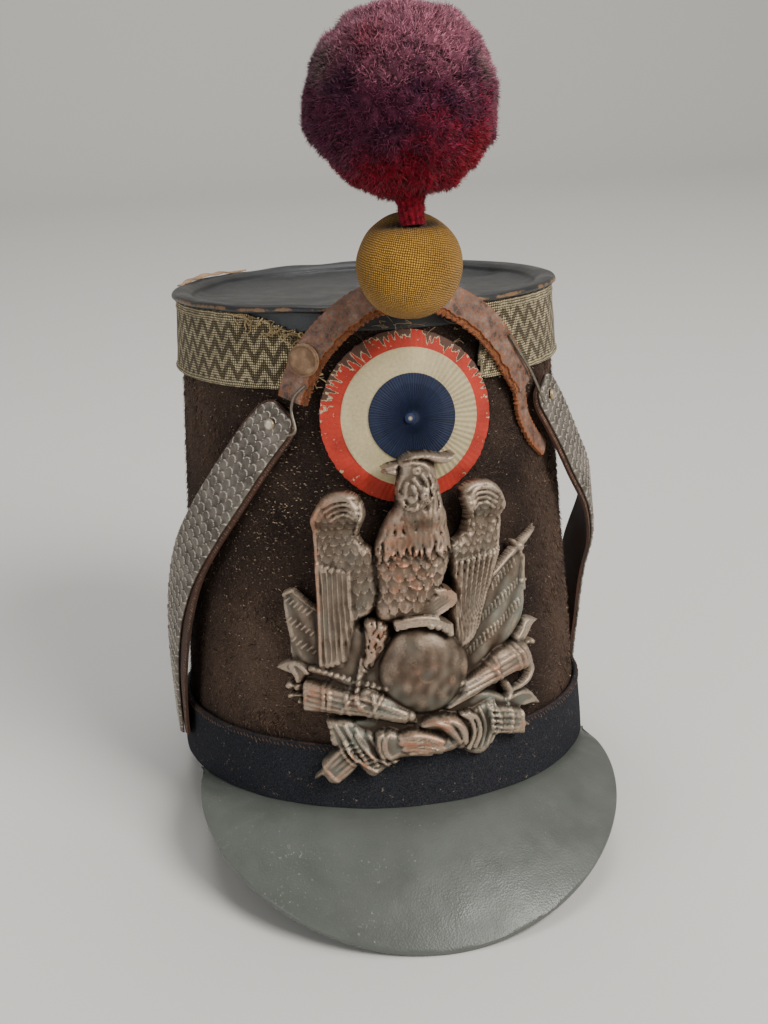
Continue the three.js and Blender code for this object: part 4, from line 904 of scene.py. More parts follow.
def build_threads(looks):
    """Loose threads of the torn end, and linen threads over the cockade: thin tubes on seeded curves."""
    rng = np.random.default_rng(51)
    bodies, tints = [], []
    cream, grey = tones(looks, "thread_cream", "tape_dark")
    for k in range(46):
        start = rng.uniform(-44, -23.5) if k < 34 else rng.uniform(-23.5, -22)
        fall = (float(np.interp(start, *TEAR)) * TAPE_HEIGHT + RIM_HEIGHT
                + (1.2 if k < 34 else rng.uniform(2, 20)))
        run = rng.uniform(-4, 4, 3).cumsum()
        dip = rng.uniform(-1.2, 3.0, 3).cumsum() if k < 34 else rng.uniform(-1.5, 1.5, 3).cumsum()
        knots = [under_top(start + x / 1.4, TAPE_FACE + y, fall + z) for x, y, z in zip(
            [0, *(run if k < 34 else np.abs(run) * 0.5)], [-0.2, 0.5, 0.9, rng.uniform(0.3, 1.8)], [0, *dip])]
        path = curve_through(knots, np.linspace(0, 1, 16))
        bodies.append(loops(tube(path, rng.uniform(0.12, 0.26), 5)))
        tints.append(mix(grey, cream, rng.uniform(0.4, 1)))
    for k in range(26):
        angle, z = rng.uniform(-16, 20), rng.uniform(180, 192)
        steps = rng.normal(0, 2.2, (4, 2)).cumsum(0)
        knots = [side(angle + x, z + y * 0.7, 0.8 + 0.5 * abs(y)) for x, y in steps]
        path = curve_through(knots, np.linspace(0, 1, 16))
        bodies.append(loops(tube(path, rng.uniform(0.09, 0.16), 5)))
        tints.append(mix(grey, cream, rng.uniform(0.0, 0.8)) * 0.8)
    paint = np.vstack([np.tile(tint, (len(body[0]), 1)) for tint, body in zip(tints, bodies)])
    # Linen, spun and frayed: pale, dry threads without gloss
    add_piece("loose_threads", many(bodies), tinted_hair("Linen thread, frayed"),
              values={"paint": paint})


def build_band(looks):
    """Velvet band: a loop of its outer and inner height lines carried round, rounded at its upper
    edge, with a row of stitches below that edge."""
    angle = np.linspace(0, 360, 320, endpoint=False)[:, None]
    turn = np.radians(np.linspace(0, 180, 9))
    share = np.concatenate([np.linspace(0, 0.95, 22), 0.95 + 0.05 * np.sin(turn),
                            np.linspace(0.95, 0, 8)])[None]
    off = np.concatenate([np.full(22, BAND_FACE), mix(SEAT, BAND_FACE, 0.5 + 0.5 * np.cos(turn)),
                          np.full(8, SEAT)])[None]
    low = foot_edge(angle, off)
    z = mix(low, BAND_HEIGHT, share)
    outer = ease(off, 1.2, 2.4)
    off = off + outer * (0.12 * ripple(side(angle, z, 0), 22, 61) - 0.15) + outer * 0.3 * ease(z, 20.5, 22.5)
    points, faces = loops(side(angle, z, off), "round")
    worn = outer * ease(z, 24.9, 25.6) * (0.6 + 0.4 * ripple(side(angle, z, 0), 6, 62))
    add_piece("velvet_band", (points, faces), cut_velvet(looks), ["lower_band"],
              values={"worn": np.clip(worn, 0, 1).ravel()})
    rng = np.random.default_rng(63)
    bodies = []
    for at_angle in np.arange(0, 360, 1.25):
        a = at_angle + rng.normal(0, 0.1)
        ends = side(np.array([a - 0.3, a, a + 0.3]), 24.0 + rng.normal(0, 0.2) + np.array([0.6, 0, -0.6]),
                    BAND_FACE + np.array([0.0, 0.28, 0.05]))
        bodies.append(loops(tube(curve_through(ends, np.linspace(0, 1, 4)), 0.17, 5)))
    points, faces = many(bodies)
    tint, = tones(looks, "velvet_edge")
    # Linen thread, waxed and sewn in: small grey stitches, duller than the pile
    add_piece("band_stitches", (points, faces), tinted_hair("Waxed thread, sewn"),
              values={"paint": np.tile(tint, (len(points), 1))})


def build_peak(looks):
    """Peak: a loop of its upper face, rounded edge and underside at each angle, kept above the floor."""
    angle = np.linspace(-1, 1, 150)[:, None] * PEAK_HALF_ANGLE
    turn = np.radians(np.linspace(0, 180, 8))[None]
    upper = np.linspace(0.08, 0.985, 40)[None]
    lower = upper[:, ::-2]
    zero = 0 * angle
    flange = [side(angle[:, 0], zero[:, 0], off) for off in (-1.75, 0.6, 2.0)]
    faces = []
    for depth in (0, PEAK_WALL):
        rows = np.stack(flange, 1)
        rows[..., 2] = -SEAT - depth
        faces.append(rows)
    top = peak_point(angle + 0 * upper, upper + zero, 0 * upper)
    edge = peak_point(angle + 0 * turn, 0.985 + 0.015 * np.sin(turn) + zero,
                      PEAK_WALL * (0.5 - 0.5 * np.cos(turn)))
    below = peak_point(angle + 0 * lower, lower + zero, PEAK_WALL + 0 * lower)
    section = np.concatenate([faces[0], top, edge, below, faces[1][:, ::-1]], 1)
    sway = 0.25 * ripple(section[..., :2], 26, 71) + 0.1 * ripple(section[..., :2], 8, 72)
    reach = np.concatenate([np.zeros((1, 3)), upper, 1 + 0 * turn, lower, np.zeros((1, 3))], 1)
    section[..., 2] += sway * np.sin(math.pi * np.clip(reach, 0, 1))
    section[..., 2] = np.maximum(section[..., 2], FLOOR_LEVEL + FLOOR_SLOPE * section[..., 1])
    worn = 0.466 + 0.022 * ripple(section, 30, 73) - 0.025 * ease(section[..., 0], -30, 40)
    # Cow leather, waxed and boned smooth: a broad soft gloss, greyed in patches, with small pale scuffs
    material = tanned_leather("Cow leather, waxed", looks.peak_dark, looks.peak_light, looks.peak_worn, 0.8,
                              0.38)
    add_piece("peak_leather_skin", loops(section), material, ["peak"],
              values={"worn": capped(worn)})


def ribbon_section(strip, low, high, base, wall, crown, ragged, seed, across=14):
    """Sections of a ribbon: a face with a low crown from edge to edge, and a flat back. Ragged edges
    move in and out by noise along their length."""
    t = strip["t"][:, None]
    length = np.linalg.norm(np.diff(strip["place"], axis=0), axis=1).sum()
    edge = [ripple(t * length, 2.2, seed + k)[:, None] * ragged for k in (0, 1)]
    share = np.linspace(0, 1, across)[None]
    width = mix(low + edge[0], high + edge[1], share)
    face = base + wall - crown * (2 * share - 1) ** 4 + 0 * t
    back = np.concatenate([width[:, -1:], width[:, :1]], 1)
    return np.concatenate([on_strip(strip, width, face), on_strip(strip, back, base + 0 * back)], 1)


def build_straps(looks):
    """Hide straps: an upper layer with its grain side out, over an under layer whose rough edge shows
    along the inner side; the right one's under layer runs on as a free tail."""
    # Hide left rough, grain side: brown and dry, crazed into fine pale lines
    # Its flesh side was never dressed: paler, matt and fibrous
    grain = tanned_leather("Hide, grain side", looks.hide_grain, looks.hide_pale, looks.hide_flesh, 0.6,
                           0.75, cracks_mm=2.4, patch_mm=4.5)
    flesh = tanned_leather("Hide, flesh side", looks.hide_flesh_dark, looks.hide_flesh, looks.hide_flesh,
                           0.35, 0.95)
    for name, inner in (("left", 1), ("right", -1)):
        strip = strip_frames(STRAP_ROWS[name], 120)
        half = (strip["width"] / 2)[:, None]
        near, far = inner * half, -inner * half
        inset = inner * (2.0 + 0.4 * ripple(strip["t"][:, None] * 60, 9, 81)[:, None])
        section = ribbon_section(strip, far, near - inset, 1.25, STRAP_WALL - 1.25, 0.35, 0.22, 82)
        rows = section.shape[1]
        rim = np.concatenate([np.abs(np.linspace(-1, 1, rows - 2)), [1, 1]])[None]
        worn = np.clip(ease(rim, 0.82, 1) + 0.25 * (ripple(section, 5, 83) > 1.2), 0, 1)
        add_piece(f"strap_{name}_grain", loops(section), grain, [f"strap_{name}"],
                  values={"worn": capped(worn)})
        under = ribbon_section(strip, far + inner * 2.5, near, 0, 1.2, 0.2, 0.4, 86)
        add_piece(f"strap_{name}_flesh", loops(under), flesh,
                  values={"worn": np.ones(under.shape[0] * under.shape[1] + 2)})
        fuzz(f"strap_{name}_fuzz", strip, near, inner, looks)
    tail = strip_frames(TAIL_ROWS, 90)
    half = (tail["width"] / 2)[:, None]
    section = ribbon_section(tail, -half, half, 0, 1.9, 0.4, 0.4, 91)
    rows = section.shape[1]
    rim = np.concatenate([np.abs(np.linspace(-1, 1, rows - 2)), [1, 1]])[None]
    worn = ease(rim, 0.5, 0.8) + 0 * section[..., 0]
    add_piece("strap_tail", loops(section), grain, values={"worn": capped(worn, 1.0)})


def fuzz(name, strip, edge, inner, looks):
    """Rough fibres of the flesh side, standing out of the strap's inner edge."""
    rng = np.random.default_rng(95)
    count = 2600
    t = rng.uniform(0, len(strip["t"]) - 1.001, count)
    i = t.astype(int)
    parts = {key: strip[key][i] + (strip[key][i + 1] - strip[key][i]) * (t - i)[:, None]
             for key in ("place", "along", "out", "across")}
    root = (parts["place"] + parts["across"] * (edge[i] - inner * rng.uniform(0, 2.2, (count, 1)))
            + parts["out"] * rng.uniform(0.1, 1.2, (count, 1)))
    lean = (parts["across"] * inner * rng.uniform(0, 0.8, (count, 1))
            + parts["out"] * rng.uniform(0, 0.7, (count, 1))
            + parts["along"] * rng.normal(0, 0.5, (count, 1)))
    tips = root + unit(lean) * rng.uniform(0.3, 1.0, (count, 1))
    dark, pale = tones(looks, "hide_flesh_dark", "hide_flesh")
    tint = mix(dark, pale * 1.25, rng.uniform(0, 1, (count, 1)))
    # Fibres torn out of the flesh side: a pale fuzz that softens the strap's edge
    add_piece(name, spikes(root, tips, rng.uniform(0.08, 0.18, count)), tinted_hair("Hide fibres, rough"),
              values={"paint": np.repeat(tint, 4, 0)}, sharp=None)


def scale_tiles(s, t, pitch, width):
    """Overlapping scales in staggered rows, 0..1: each starts at an arched lip, where it stands
    highest, and sinks along s until the next row's lips cover it."""
    best = np.zeros(np.broadcast(s, t).shape)
    lips = np.zeros_like(best)
    row = np.floor(s / pitch)
    for k in (-2, -1, 0, 1):
        r = row + k
        shift = 0.5 * np.mod(r, 2)
        local = (np.mod(t / width + shift, 1) - 0.5) * 2
        arch = 1 - np.sqrt(np.clip(1 - np.abs(local) ** 2.2, 0, 1))
        away = s - r * pitch - arch * pitch * 0.75
        tile = np.where(away > 0, 1 - away / (2.6 * pitch), 0) * ease(away, 0, 0.4)
        rim = np.exp(-((away - 0.5) / 0.35) ** 2) * (away > -0.3)
        lips = np.where(tile > best, rim, lips)
        best = np.maximum(best, tile)
    return best, lips


def build_chin(looks):
    """Chin scales: a stamped sheet whose face is a field of overlapping scales along the strip, on a
    leather backing with a stitched edge."""
    # Calf, tanned in bark and left undyed: warm russet, matt, paler on its ribbed edge
    # White metal, stamped in thin sheet: grey, dull in its hollows, brighter on each scale's lip
    backing = tanned_leather("Russet leather, stitched", looks.russet_dark, looks.russet,
                             looks.russet_light, 0.5, 0.8)
    metal = aged_metal("White metal, stamped", looks.pewter, looks.pewter_dull, looks.pewter_bright, 0.5,
                       0.55)
    for name in ("left", "right"):
        strip = strip_frames(CHIN_ROWS[name], 380)
        length = np.linalg.norm(np.diff(strip["place"], axis=0), axis=1).sum()
        t = strip["t"][:, None]
        start = 0.45 + 0.55 * np.sqrt(1 - (1 - np.minimum(t / 0.06, 1)) ** 2)
        half = (strip["width"][:, None] / 2) * np.minimum(start * 1.02, 1)
        share = np.linspace(-1, 1, 56)[None]
        tiles, lips = scale_tiles(t * length, share * half * (SCALE_WIDTH / strip["width"][:, None]), 4.6,
                                  4.7)
        rim = ease(np.abs(share), 0.93, 0.97)
        height = (BACKING_WALL + SEAT + 0.45 + mix(tiles * 1.15 + lips * 0.22, 0.5, rim)
                  + 0.1 * (1 - share ** 2))
        face = on_strip(strip, share * half, height)
        ends = np.concatenate([half, -half], 1)
        section = np.concatenate([face, on_strip(strip, ends, BACKING_WALL + SEAT + 0 * ends)], 1)
        pad = ((0, 0), (0, 2))
        ridge = capped(np.pad(np.clip(lips * 1.3 + rim * 0.4, 0, 1.25), pad))
        hollow_and_shade = capped(np.pad(np.clip(1 - tiles * 1.6, 0, 1) * (1 - rim), pad))
        add_piece(f"scale_strip_{name}", loops(section), metal, [f"chin_scale_{name}"],
                  values={"ridge": ridge, "hollow_and_shade": hollow_and_shade}, sharp=None)
        half = (strip["width"][:, None] / 2 + 1.4) * start
        share = np.linspace(-1, 1, 22)[None]
        wide = (8.8 if name == "left" else 0.6) * ease(t, 0.4, 0.78) * (1 - ease(t, 0.95, 1.0))
        bulge = wide * ease(share, 0.6, 0.9)
        edge = ease(np.abs(share), 0.84, 0.88)
        ribs = 0.16 * edge * (0.5 + 0.5 * np.sin(2 * math.pi * t * length / 1.25))
        height = BACKING_WALL - 0.5 * ease(np.abs(share), 0.97, 1.0) + ribs - 0.1
        section = np.concatenate([on_strip(strip, share * half + bulge, height + 0 * half),
                                  on_strip(strip, np.concatenate([half + bulge[:, -1:], -half], 1),
                                           np.zeros((1, 2)))], 1)
        worn = capped(np.pad(edge * (0.4 + 2.2 * ribs), pad))
        add_piece(f"scale_backing_{name}", loops(section), backing, [f"chin_backing_{name}"],
                  values={"worn": worn})


def dome_profile(radius, height):
    """Radius and height of a domed rivet with a rolled edge, from its back to its middle."""
    turn = np.radians(np.linspace(-60, 90, 9))
    roll = np.stack([radius * 0.94 + radius * 0.06 * np.cos(turn),
                     height * 0.3 * (1 + np.sin(turn)) / 1.87], 1)
    share = np.linspace(0.93, 0, 26)
    crown = np.stack([radius * share, height * (0.34 + 0.66 * np.sqrt(1 - (share / 0.99) ** 2))], 1)
    return np.vstack([[[0, 0]], roll, crown])


def build_fittings(looks):
    """Rivets turned from domed profiles, and wire hooks as tubes from the straps to the strips."""
    # Brass, spun and worn by hands: brown in its hollows, yellow where it is rubbed
    # Brass under a wash of tin: pale, with a soft gloss
    # Iron wire, drawn and tinned: dark grey, with a bright line along it
    brass = aged_metal("Brass, spun and worn", looks.brass, looks.brass_dull, looks.brass_bright, 0.5, 0.7)
    pale = aged_metal("Brass, tinned", looks.pewter_bright, looks.pewter, looks.thread_cream, 0.4, 0.7)
    wire = aged_metal("Iron wire, tinned", looks.wire, looks.wire, looks.wire_bright, 0.4, 0.9)
    straps = {name: strip_frames(STRAP_ROWS[name], 21) for name in ("left", "right")}
    chins = {name: strip_frames(CHIN_ROWS[name], 41) for name in ("left", "right")}
    heads = [("strap_rivet_head", "strap_rivet", straps["left"], 13, -STRAP_WIDTH * 0.06,
              STRAP_WALL + 2 * SEAT, RIVET_RADIUS, 3.0, brass)]
    heads += [(f"scale_rivet_head_{name}", f"scale_rivet_{name}", chins[name], 2, 0.0,
               BACKING_WALL + 1.8 + 2 * SEAT, 2.1, 1.26, pale) for name in ("left", "right")]
    for name, cad, strip, i, across, out, radius, height, metal in heads:
        centre = strip["place"][i] + strip["across"][i] * across + strip["out"][i] * out
        rings = turned(dome_profile(radius, height), centre, strip["out"][i], 64)
        radial = np.linalg.norm(rings - centre, axis=2)
        ridge = np.clip(0.45 + 0.2 * ripple(rings, 4, 101), 0, 1)
        ridge = np.maximum(ridge, np.exp(-((radial - radius) / 0.5) ** 2))
        add_piece(name, loops(rings, "poles"), metal, [cad],
                  values={"ridge": ends_last(ridge), "hollow_and_shade": ends_last(0.25 * (radial > radius * 0.86))})
    hooks = {
        "left": (straps["left"], 18, chins["left"],
                 [("strap", 0.35, -0.3), ("strap", 0.1, 0.15), ("strap", 0.12, 0.55), ("strip", 0.62, -0.2),
                  ("strip", 0.5, 0.1)]),
        "right": (straps["right"], 13, chins["right"],
                  [("strap", 0.3, -0.3), ("strap", 0.3, 0.5), ("strap", 0.3, 1.3), ("strip", -0.5, 0.0)]),
    }
    for name, (strap, i, strip, rows) in hooks.items():
        knots = []
        for on, across, along in rows:
            held, k = (strap, i) if on == "strap" else (strip, 1)
            lift = STRAP_WALL + SEAT + 0.7 if on == "strap" else BACKING_WALL + 1.8 + 2 * SEAT + 0.7
            knots.append(held["place"][k] + held["across"][k] * across * held["width"][k]
                         + held["out"][k] * lift + held["along"][k] * along * STRAP_WIDTH)
        path = curve_through(knots, np.linspace(0, 1, 60))
        points, faces = loops(tube(path, 0.6, 12))
        add_piece(f"hook_wire_{name}", (points, faces), wire, [f"hook_{name}"],
                  values={"ridge": np.full(len(points), 0.5), "hollow_and_shade": np.zeros(len(points))})


def front_frame():
    """Middle, across, back and up of the place where the cockade lies on the leaning front."""
    low, high = (side(COCKADE_ANGLE, COCKADE_HEIGHT + k * COCKADE_RADIUS, SEAT) for k in (-1, 1))
    up = unit(high - low)
    back = -outward(COCKADE_ANGLE)
    back = unit(back - up * (back @ up))
    return (low + high) / 2, np.cross(back, up), back, up


def build_cockade(looks):
    """Cockade: rings of a domed disc, bent a little round the body. Three pleated sheets lie on each
    other, so the face steps down at the edge of the blue and of the white."""
    centre, across, back, up = front_frame()
    radius = np.concatenate([np.linspace(0, COCKADE_BLUE - 0.1, 34),
                             np.linspace(COCKADE_BLUE + 0.02, COCKADE_WHITE - 0.1, 18),
                             np.linspace(COCKADE_WHITE + 0.05, COCKADE_RADIUS - 0.3, 14),
                             [32.45, COCKADE_RADIUS, COCKADE_RADIUS, 32.3, 16, 0]])[:, None]
    faces = len(radius) - 5
    turn = np.linspace(0, 2 * math.pi, 368, endpoint=False)[None]
    ragged = ripple(stack(radius * np.cos(turn), radius * np.sin(turn)), 3, 111) * 0.12 * (radius > 31)
    shown = radius + ragged
    share = shown / COCKADE_RADIUS
    wave = 0.5 + 0.5 * np.cos(turn * 92)
    sharp = 1 - np.abs(2 * np.mod(turn * 70 / (2 * math.pi), 1) - 1)
    right = 0.12 + 0.88 * np.clip(np.cos(turn + 0.25) * 1.3, 0, 1)
    blue = radius < COCKADE_BLUE - 0.05
    white = ~blue & (radius < COCKADE_WHITE)
    outer = radius >= COCKADE_WHITE
    thick = np.where(blue, 1.05 + 0.34 * wave * ease(radius, 1, 5), 0)
    thick = np.where(white, 0.72 + 0.4 * sharp * right, thick)
    thick = np.where(outer, 0.42 + 0.15 * wave
                     + 0.2 * ripple(stack(shown * np.cos(turn), shown * np.sin(turn)), 9, 112), thick)
    back_rows = (np.arange(len(radius)) >= faces + 1)[:, None]
    thick = np.where(back_rows, 0, np.clip(thick, 0.25, 2))
    slide = np.interp(radius, [0, COCKADE_BLUE, COCKADE_WHITE, 32.4], [1.3, 1.3, 0.9, 0])
    x = shown * np.cos(turn) + slide
    y = -(COCKADE_DOME * (1 - share ** 2) + thick - x * x / 300)
    points = centre + across * x[..., None] + back * y[..., None] + up * (shown * np.sin(turn))[..., None]
    dark, navy, cream, red = tones(looks, "cockade_blue_shade", "cockade_blue", "cockade_white", "cockade_red")
    streak = np.clip(ripple(stack(np.cos(turn) * 30 + 0 * radius, np.sin(turn) * 30 + 0 * radius), 2.2, 113)
                     * 0.5 + 0.5, 0, 1)
    # The blue is darker in the troughs of its pleats: painted shade
    tint = mix(dark, navy, (wave * 0.6 + streak * 0.5)[..., None])
    aged = np.clip(0.5 + 0.5 * ripple(stack(x, shown * np.sin(turn)), 16, 114), 0, 1)
    # The cream is darker in the troughs of its deep pleats on the right: painted shade
    tint = np.where(white[..., None], cream * (0.9 - 0.4 * right * (1 - sharp) + 0.12 * aged)[..., None],
                    tint)
    tint = np.where(outer[..., None], red * (0.8 + 0.25 * aged)[..., None], tint)
    depth = (radius - COCKADE_WHITE) / (COCKADE_RADIUS - COCKADE_WHITE)
    ring = stack(np.cos(turn) * 30, np.sin(turn) * 30)
    top = ease(np.sin(turn), 0.05, 0.4)
    jagged = 0.32 * ripple(ring, 2.0, 115) + 0.22 * ripple(ring, 9, 117)
    low = 0.2 * ease(ripple(ring * 1.3, 5, 116), 0.5, 1.2)
    chip = np.clip((depth - 0.56 + jagged) * 2.2, 0, 1) * (0.46 * top + low)
    chip = np.where(radius >= 26.3, chip, 0) + 0.26 * outer
    values = {"chip": ends_last(chip),
              "paint": np.concatenate([tint[1:-1].reshape(-1, 3), tint[0, :1], tint[-1, :1]])}
    # Paper and cloth, pleated, glued and painted: chalky, with flakes off along its rim
    add_piece("cockade_disc", loops(points, "poles"), painted_disc(looks), ["cockade"],
              values=values, sharp=75)
    stud = turned([(0, 0), (1.6, 0), (2, 0.3), (1.7, 0.7), (1, 0.95), (0, 1)],
                  centre - back * (COCKADE_DOME + COCKADE_WALL + SEAT), -back, 32)
    body = loops(stud, "poles")
    # The stud's top is a pale dot: a painted glint
    pale = np.linalg.norm(body[0] - stud[-1, 0], axis=1)[:, None] < 0.6
    tint = np.where(pale, cream, navy)
    add_piece("cockade_stud_head", body, painted_disc(looks), ["cockade_stud"],
              values={"chip": np.full(len(tint), 0.1), "paint": tint})


def build_ball(looks):
    """Ball: rings of a sphere with a gathered groove across its upper front, covered in plain weave."""
    level = np.concatenate([[-90], np.linspace(-86, 86, 84), [90]])[:, None]
    turn = np.linspace(0, 360, 120, endpoint=False)[None]
    front = np.clip(np.cos(np.radians(turn)), 0, 1)
    slit = np.exp(-((level - SLIT_ELEVATION) / 7) ** 2) * front ** 0.6
    gathers = np.exp(-((level - SLIT_ELEVATION) / 20) ** 2) * front * 0.25 * np.sin(np.radians(turn) * 34)
    lump = 0.12 * ripple(way(turn + 0 * level, level) * BALL_RADIUS, 14, 121)
    reach = BALL_RADIUS - 1.3 * slit + gathers + lump - 0.15
    points = BALL_CENTRE + way(turn, level) * reach[..., None]
    uv = stack(np.radians((turn + 180) % 360 - 180) * BALL_RADIUS + 0 * level,
               np.radians(level) * BALL_RADIUS + 0 * turn)
    uv = uv @ np.array([[0.98, 0.2], [-0.2, 0.98]])
    # Near black in the slit's groove and around it: painted shade
    groove_shade = np.clip(slit * 0.9 + 0.35 * np.exp(-((level - SLIT_ELEVATION) / 14) ** 2) * front, 0, 0.95)
    flat = np.concatenate([uv[1:-1].reshape(-1, 2), uv[0, :1], uv[-1, :1]])
    # Wool cloth in plain weave, dyed mustard: matt, with a fine check of threads, and painted shade, dark
    # brown, in its gathered groove
    cloth = woven("Wool cloth, plain weave", looks.mustard_dark, looks.mustard, 0.84)
    ball = add_piece("ball_cover", loops(points, "poles"), cloth, ["ball"], uv=flat,
                     values={"groove_shade": ends_last(groove_shade)})
    build_neck(looks)


def build_neck(looks):
    """Neck: pleated wool between the ball's slit and the pompom, wider at its top, with ridges."""
    slit = BALL_CENTRE + way(0, SLIT_ELEVATION) * (BALL_RADIUS - 1.2)
    top = POMPOM_CENTRE + unit(slit - POMPOM_CENTRE) * (POMPOM_RADIUS - 3)
    share = np.linspace(0, 1, 34)
    path = slit + (top - slit) * share[:, None]
    rings = tube(path, 1.0, 72)
    centre = rings.mean(1, keepdims=True)
    turn = np.linspace(0, 2 * math.pi, 72, endpoint=False)[None]
    radius = (mix(3.7, 5.0, share)[:, None] + 0.35 * np.sin(turn * 13 + share[:, None] * 3)
              + 0.25 * ripple(rings, 3, 131))
    rings = centre + (rings - centre) * radius[..., None]
    body = loops(rings)
    crimson, = tones(looks, "wool_crimson")
    paint = np.tile(crimson, (len(body[0]), 1)) * (0.75 + 0.3 * ripple(body[0], 2, 132))[:, None]
    # Wool yarn, dyed crimson and gathered: deep and matt, unevenly dark in small patches
    add_piece("neck_wool", body, tinted_hair("Crimson wool, gathered", 0.95, 0.05), ["pompom_neck"],
              values={"paint": np.clip(paint, 0, 1)})
    rng = np.random.default_rng(133)
    count = 1500
    at_t, at_turn = rng.uniform(0, 1, count), rng.uniform(0, 2 * math.pi, count)
    i, j = (at_t * 33).astype(int), (at_turn / (2 * math.pi) * 72).astype(int) % 72
    roots = rings[i, j]
    out = unit(roots - centre[i, 0])
    tips = (roots + unit(out + unit(top - slit) * rng.normal(0, 0.8, (count, 1)))
            * rng.uniform(0.4, 1.3, (count, 1)))
    tint = crimson * rng.uniform(0.5, 1.3, (count, 1))
    # The same yarn's loose ends: a thin crimson fuzz against the light
    add_piece("neck_fibres", spikes(roots - out * 0.3, tips, 0.1), tinted_hair("Crimson wool, loose"),
              values={"paint": np.repeat(tint, 4, 0)}, sharp=None)


TUFTS = [(-98, -7, 16, 0.05), (82, 50, 18, 0.06), (10, 80, 26, 0.02), (60, -30, 22, 0.02),
         (175, 20, 30, 0.03)]


def pompom_reach(out):
    """Radius of the pompom in a direction: a ball with tufts that stand out, and uneven clipping."""
    share = np.ones(out.shape[:-1])
    for azimuth, elevation, spread, rise in TUFTS:
        away = np.degrees(np.arccos(np.clip(out @ way(azimuth, elevation), -1, 1)))
        share += rise * np.exp(-((away / spread) ** 2))
    return (POMPOM_RADIUS * share + 0.7 * ripple(out * POMPOM_RADIUS, 16, 141)
            + 0.5 * ripple(out * POMPOM_RADIUS, 7, 142))


def wool_tint(out, looks, stray=0.0):
    """Colour of the wool by direction: rose-brown above, plum round the middle, crimson below and at
    the lower right, with grey-green worn places at the left and the right. stray moves a fibre's
    place up or down, so that the colours run into each other."""
    top, plum, red, bare = tones(looks, "wool_rose", "wool_plum", "wool_crimson", "wool_bare")
    wave = (0.14 * ripple(out * POMPOM_RADIUS, 22, 143)[..., None]
            + 0.07 * ripple(out * POMPOM_RADIUS, 8, 144)[..., None])
    up = out[..., 2:3] + 0.14 * out[..., :1] + wave + stray
    tint = mix(plum, top, ease(up, -0.02, 0.6))
    dark = (ease(ripple(out * POMPOM_RADIUS, 13, 145)[..., None], 0.1, 1.1)
            * (1 - ease(np.abs(up - 0.1), 0.2, 0.5)))
    tint = mix(tint, plum * np.array([0.35, 0.5, 0.6]), 0.75 * dark)
    low = ease(-up + 0.4 * out[..., :1], 0.2, 0.8)
    tint = mix(tint, red, low)
    tint = mix(tint, red, 0.45 * np.exp(-(((out - way(-35, 38)) ** 2).sum(-1, keepdims=True) / 0.03)))
    for azimuth, elevation, spread in ((-70, 22, 13), (52, 16, 10), (178, 0, 16)):
        away = np.degrees(np.arccos(np.clip(out @ way(azimuth, elevation), -1, 1)))[..., None]
        tint = mix(tint, bare, 0.7 * np.exp(-((away / spread) ** 4)) * np.clip(0.8 + wave, 0, 1))
    return tint


def build_pompom(looks):
    """Pompom: a core of rings, and clipped fibres in locks, closed spikes that lean together."""
    level = np.concatenate([[-90], np.linspace(-87, 87, 90), [90]])[:, None]
    turn = np.linspace(0, 360, 150, endpoint=False)[None]
    out = way(turn, level)
    reach = pompom_reach(out) - 2.4 + 0.6 * ripple(out * POMPOM_RADIUS, 4, 151)
    reach[0], reach[-1] = reach[0].mean(), reach[-1].mean()
    body = loops(POMPOM_CENTRE + out * reach[..., None], "poles")
    tint = wool_tint(unit(body[0] - POMPOM_CENTRE), looks) * 0.6
    # Worsted yarn, wound into a core: darkened as painted shade between the clipped ends, with no gloss
    core = add_piece("pompom_core", body, tinted_hair("Worsted wool, wound", 1.0, 0.0), ["pompom"],
                     values={"paint": tint})
    rng = np.random.default_rng(152)
    count = int(looks.pompom_fibres)
    out = unit(rng.normal(size=(count, 3)))
    locks = unit(rng.normal(size=(1500, 3)))
    near = nearest(out, locks)
    gather = unit(mix(out, locks[near], 0.3 * rng.uniform(0.0, 1, (count, 1))))
    stand = rng.uniform(-0.5, 0.2, len(locks))[near] + rng.normal(0, 0.3, count)
    reach = pompom_reach(gather) - 0.6 + stand
    tips = POMPOM_CENTRE + unit(gather + rng.normal(0, 0.045, (count, 3))) * reach[:, None]
    roots = POMPOM_CENTRE + out * (pompom_reach(out) - 3.6)[:, None]
    tone = rng.normal(1, 0.12, (len(locks), 1))[near] * rng.choice([0.35, 0.7, 1.0, 1.4, 2.2], (count, 1))
    tint = np.clip(wool_tint(gather, looks, rng.normal(0, 0.14, (count, 1))) * tone, 0, 1)
    shade = np.stack([tint * 0.55] * 3 + [tint], 1).reshape(-1, 3)
    # Worsted yarn, clipped and teased: soft locks, each darkened towards its root as painted shade, paler and
    # rose on top
    fibres = add_piece("pompom_fibres", spikes(roots, tips, rng.uniform(0.24, 0.36, count)),
                       tinted_hair("Worsted wool, clipped", 0.95, 0.08),
                       values={"paint": shade}, sharp=None)


def nearest(points, targets):
    """Index of the target that each unit vector points at most nearly."""
    found = np.empty(len(points), int)
    for start in range(0, len(points), 4000):
        found[start:start + 4000] = (points[start:start + 4000] @ targets.T).argmax(1)
    return found


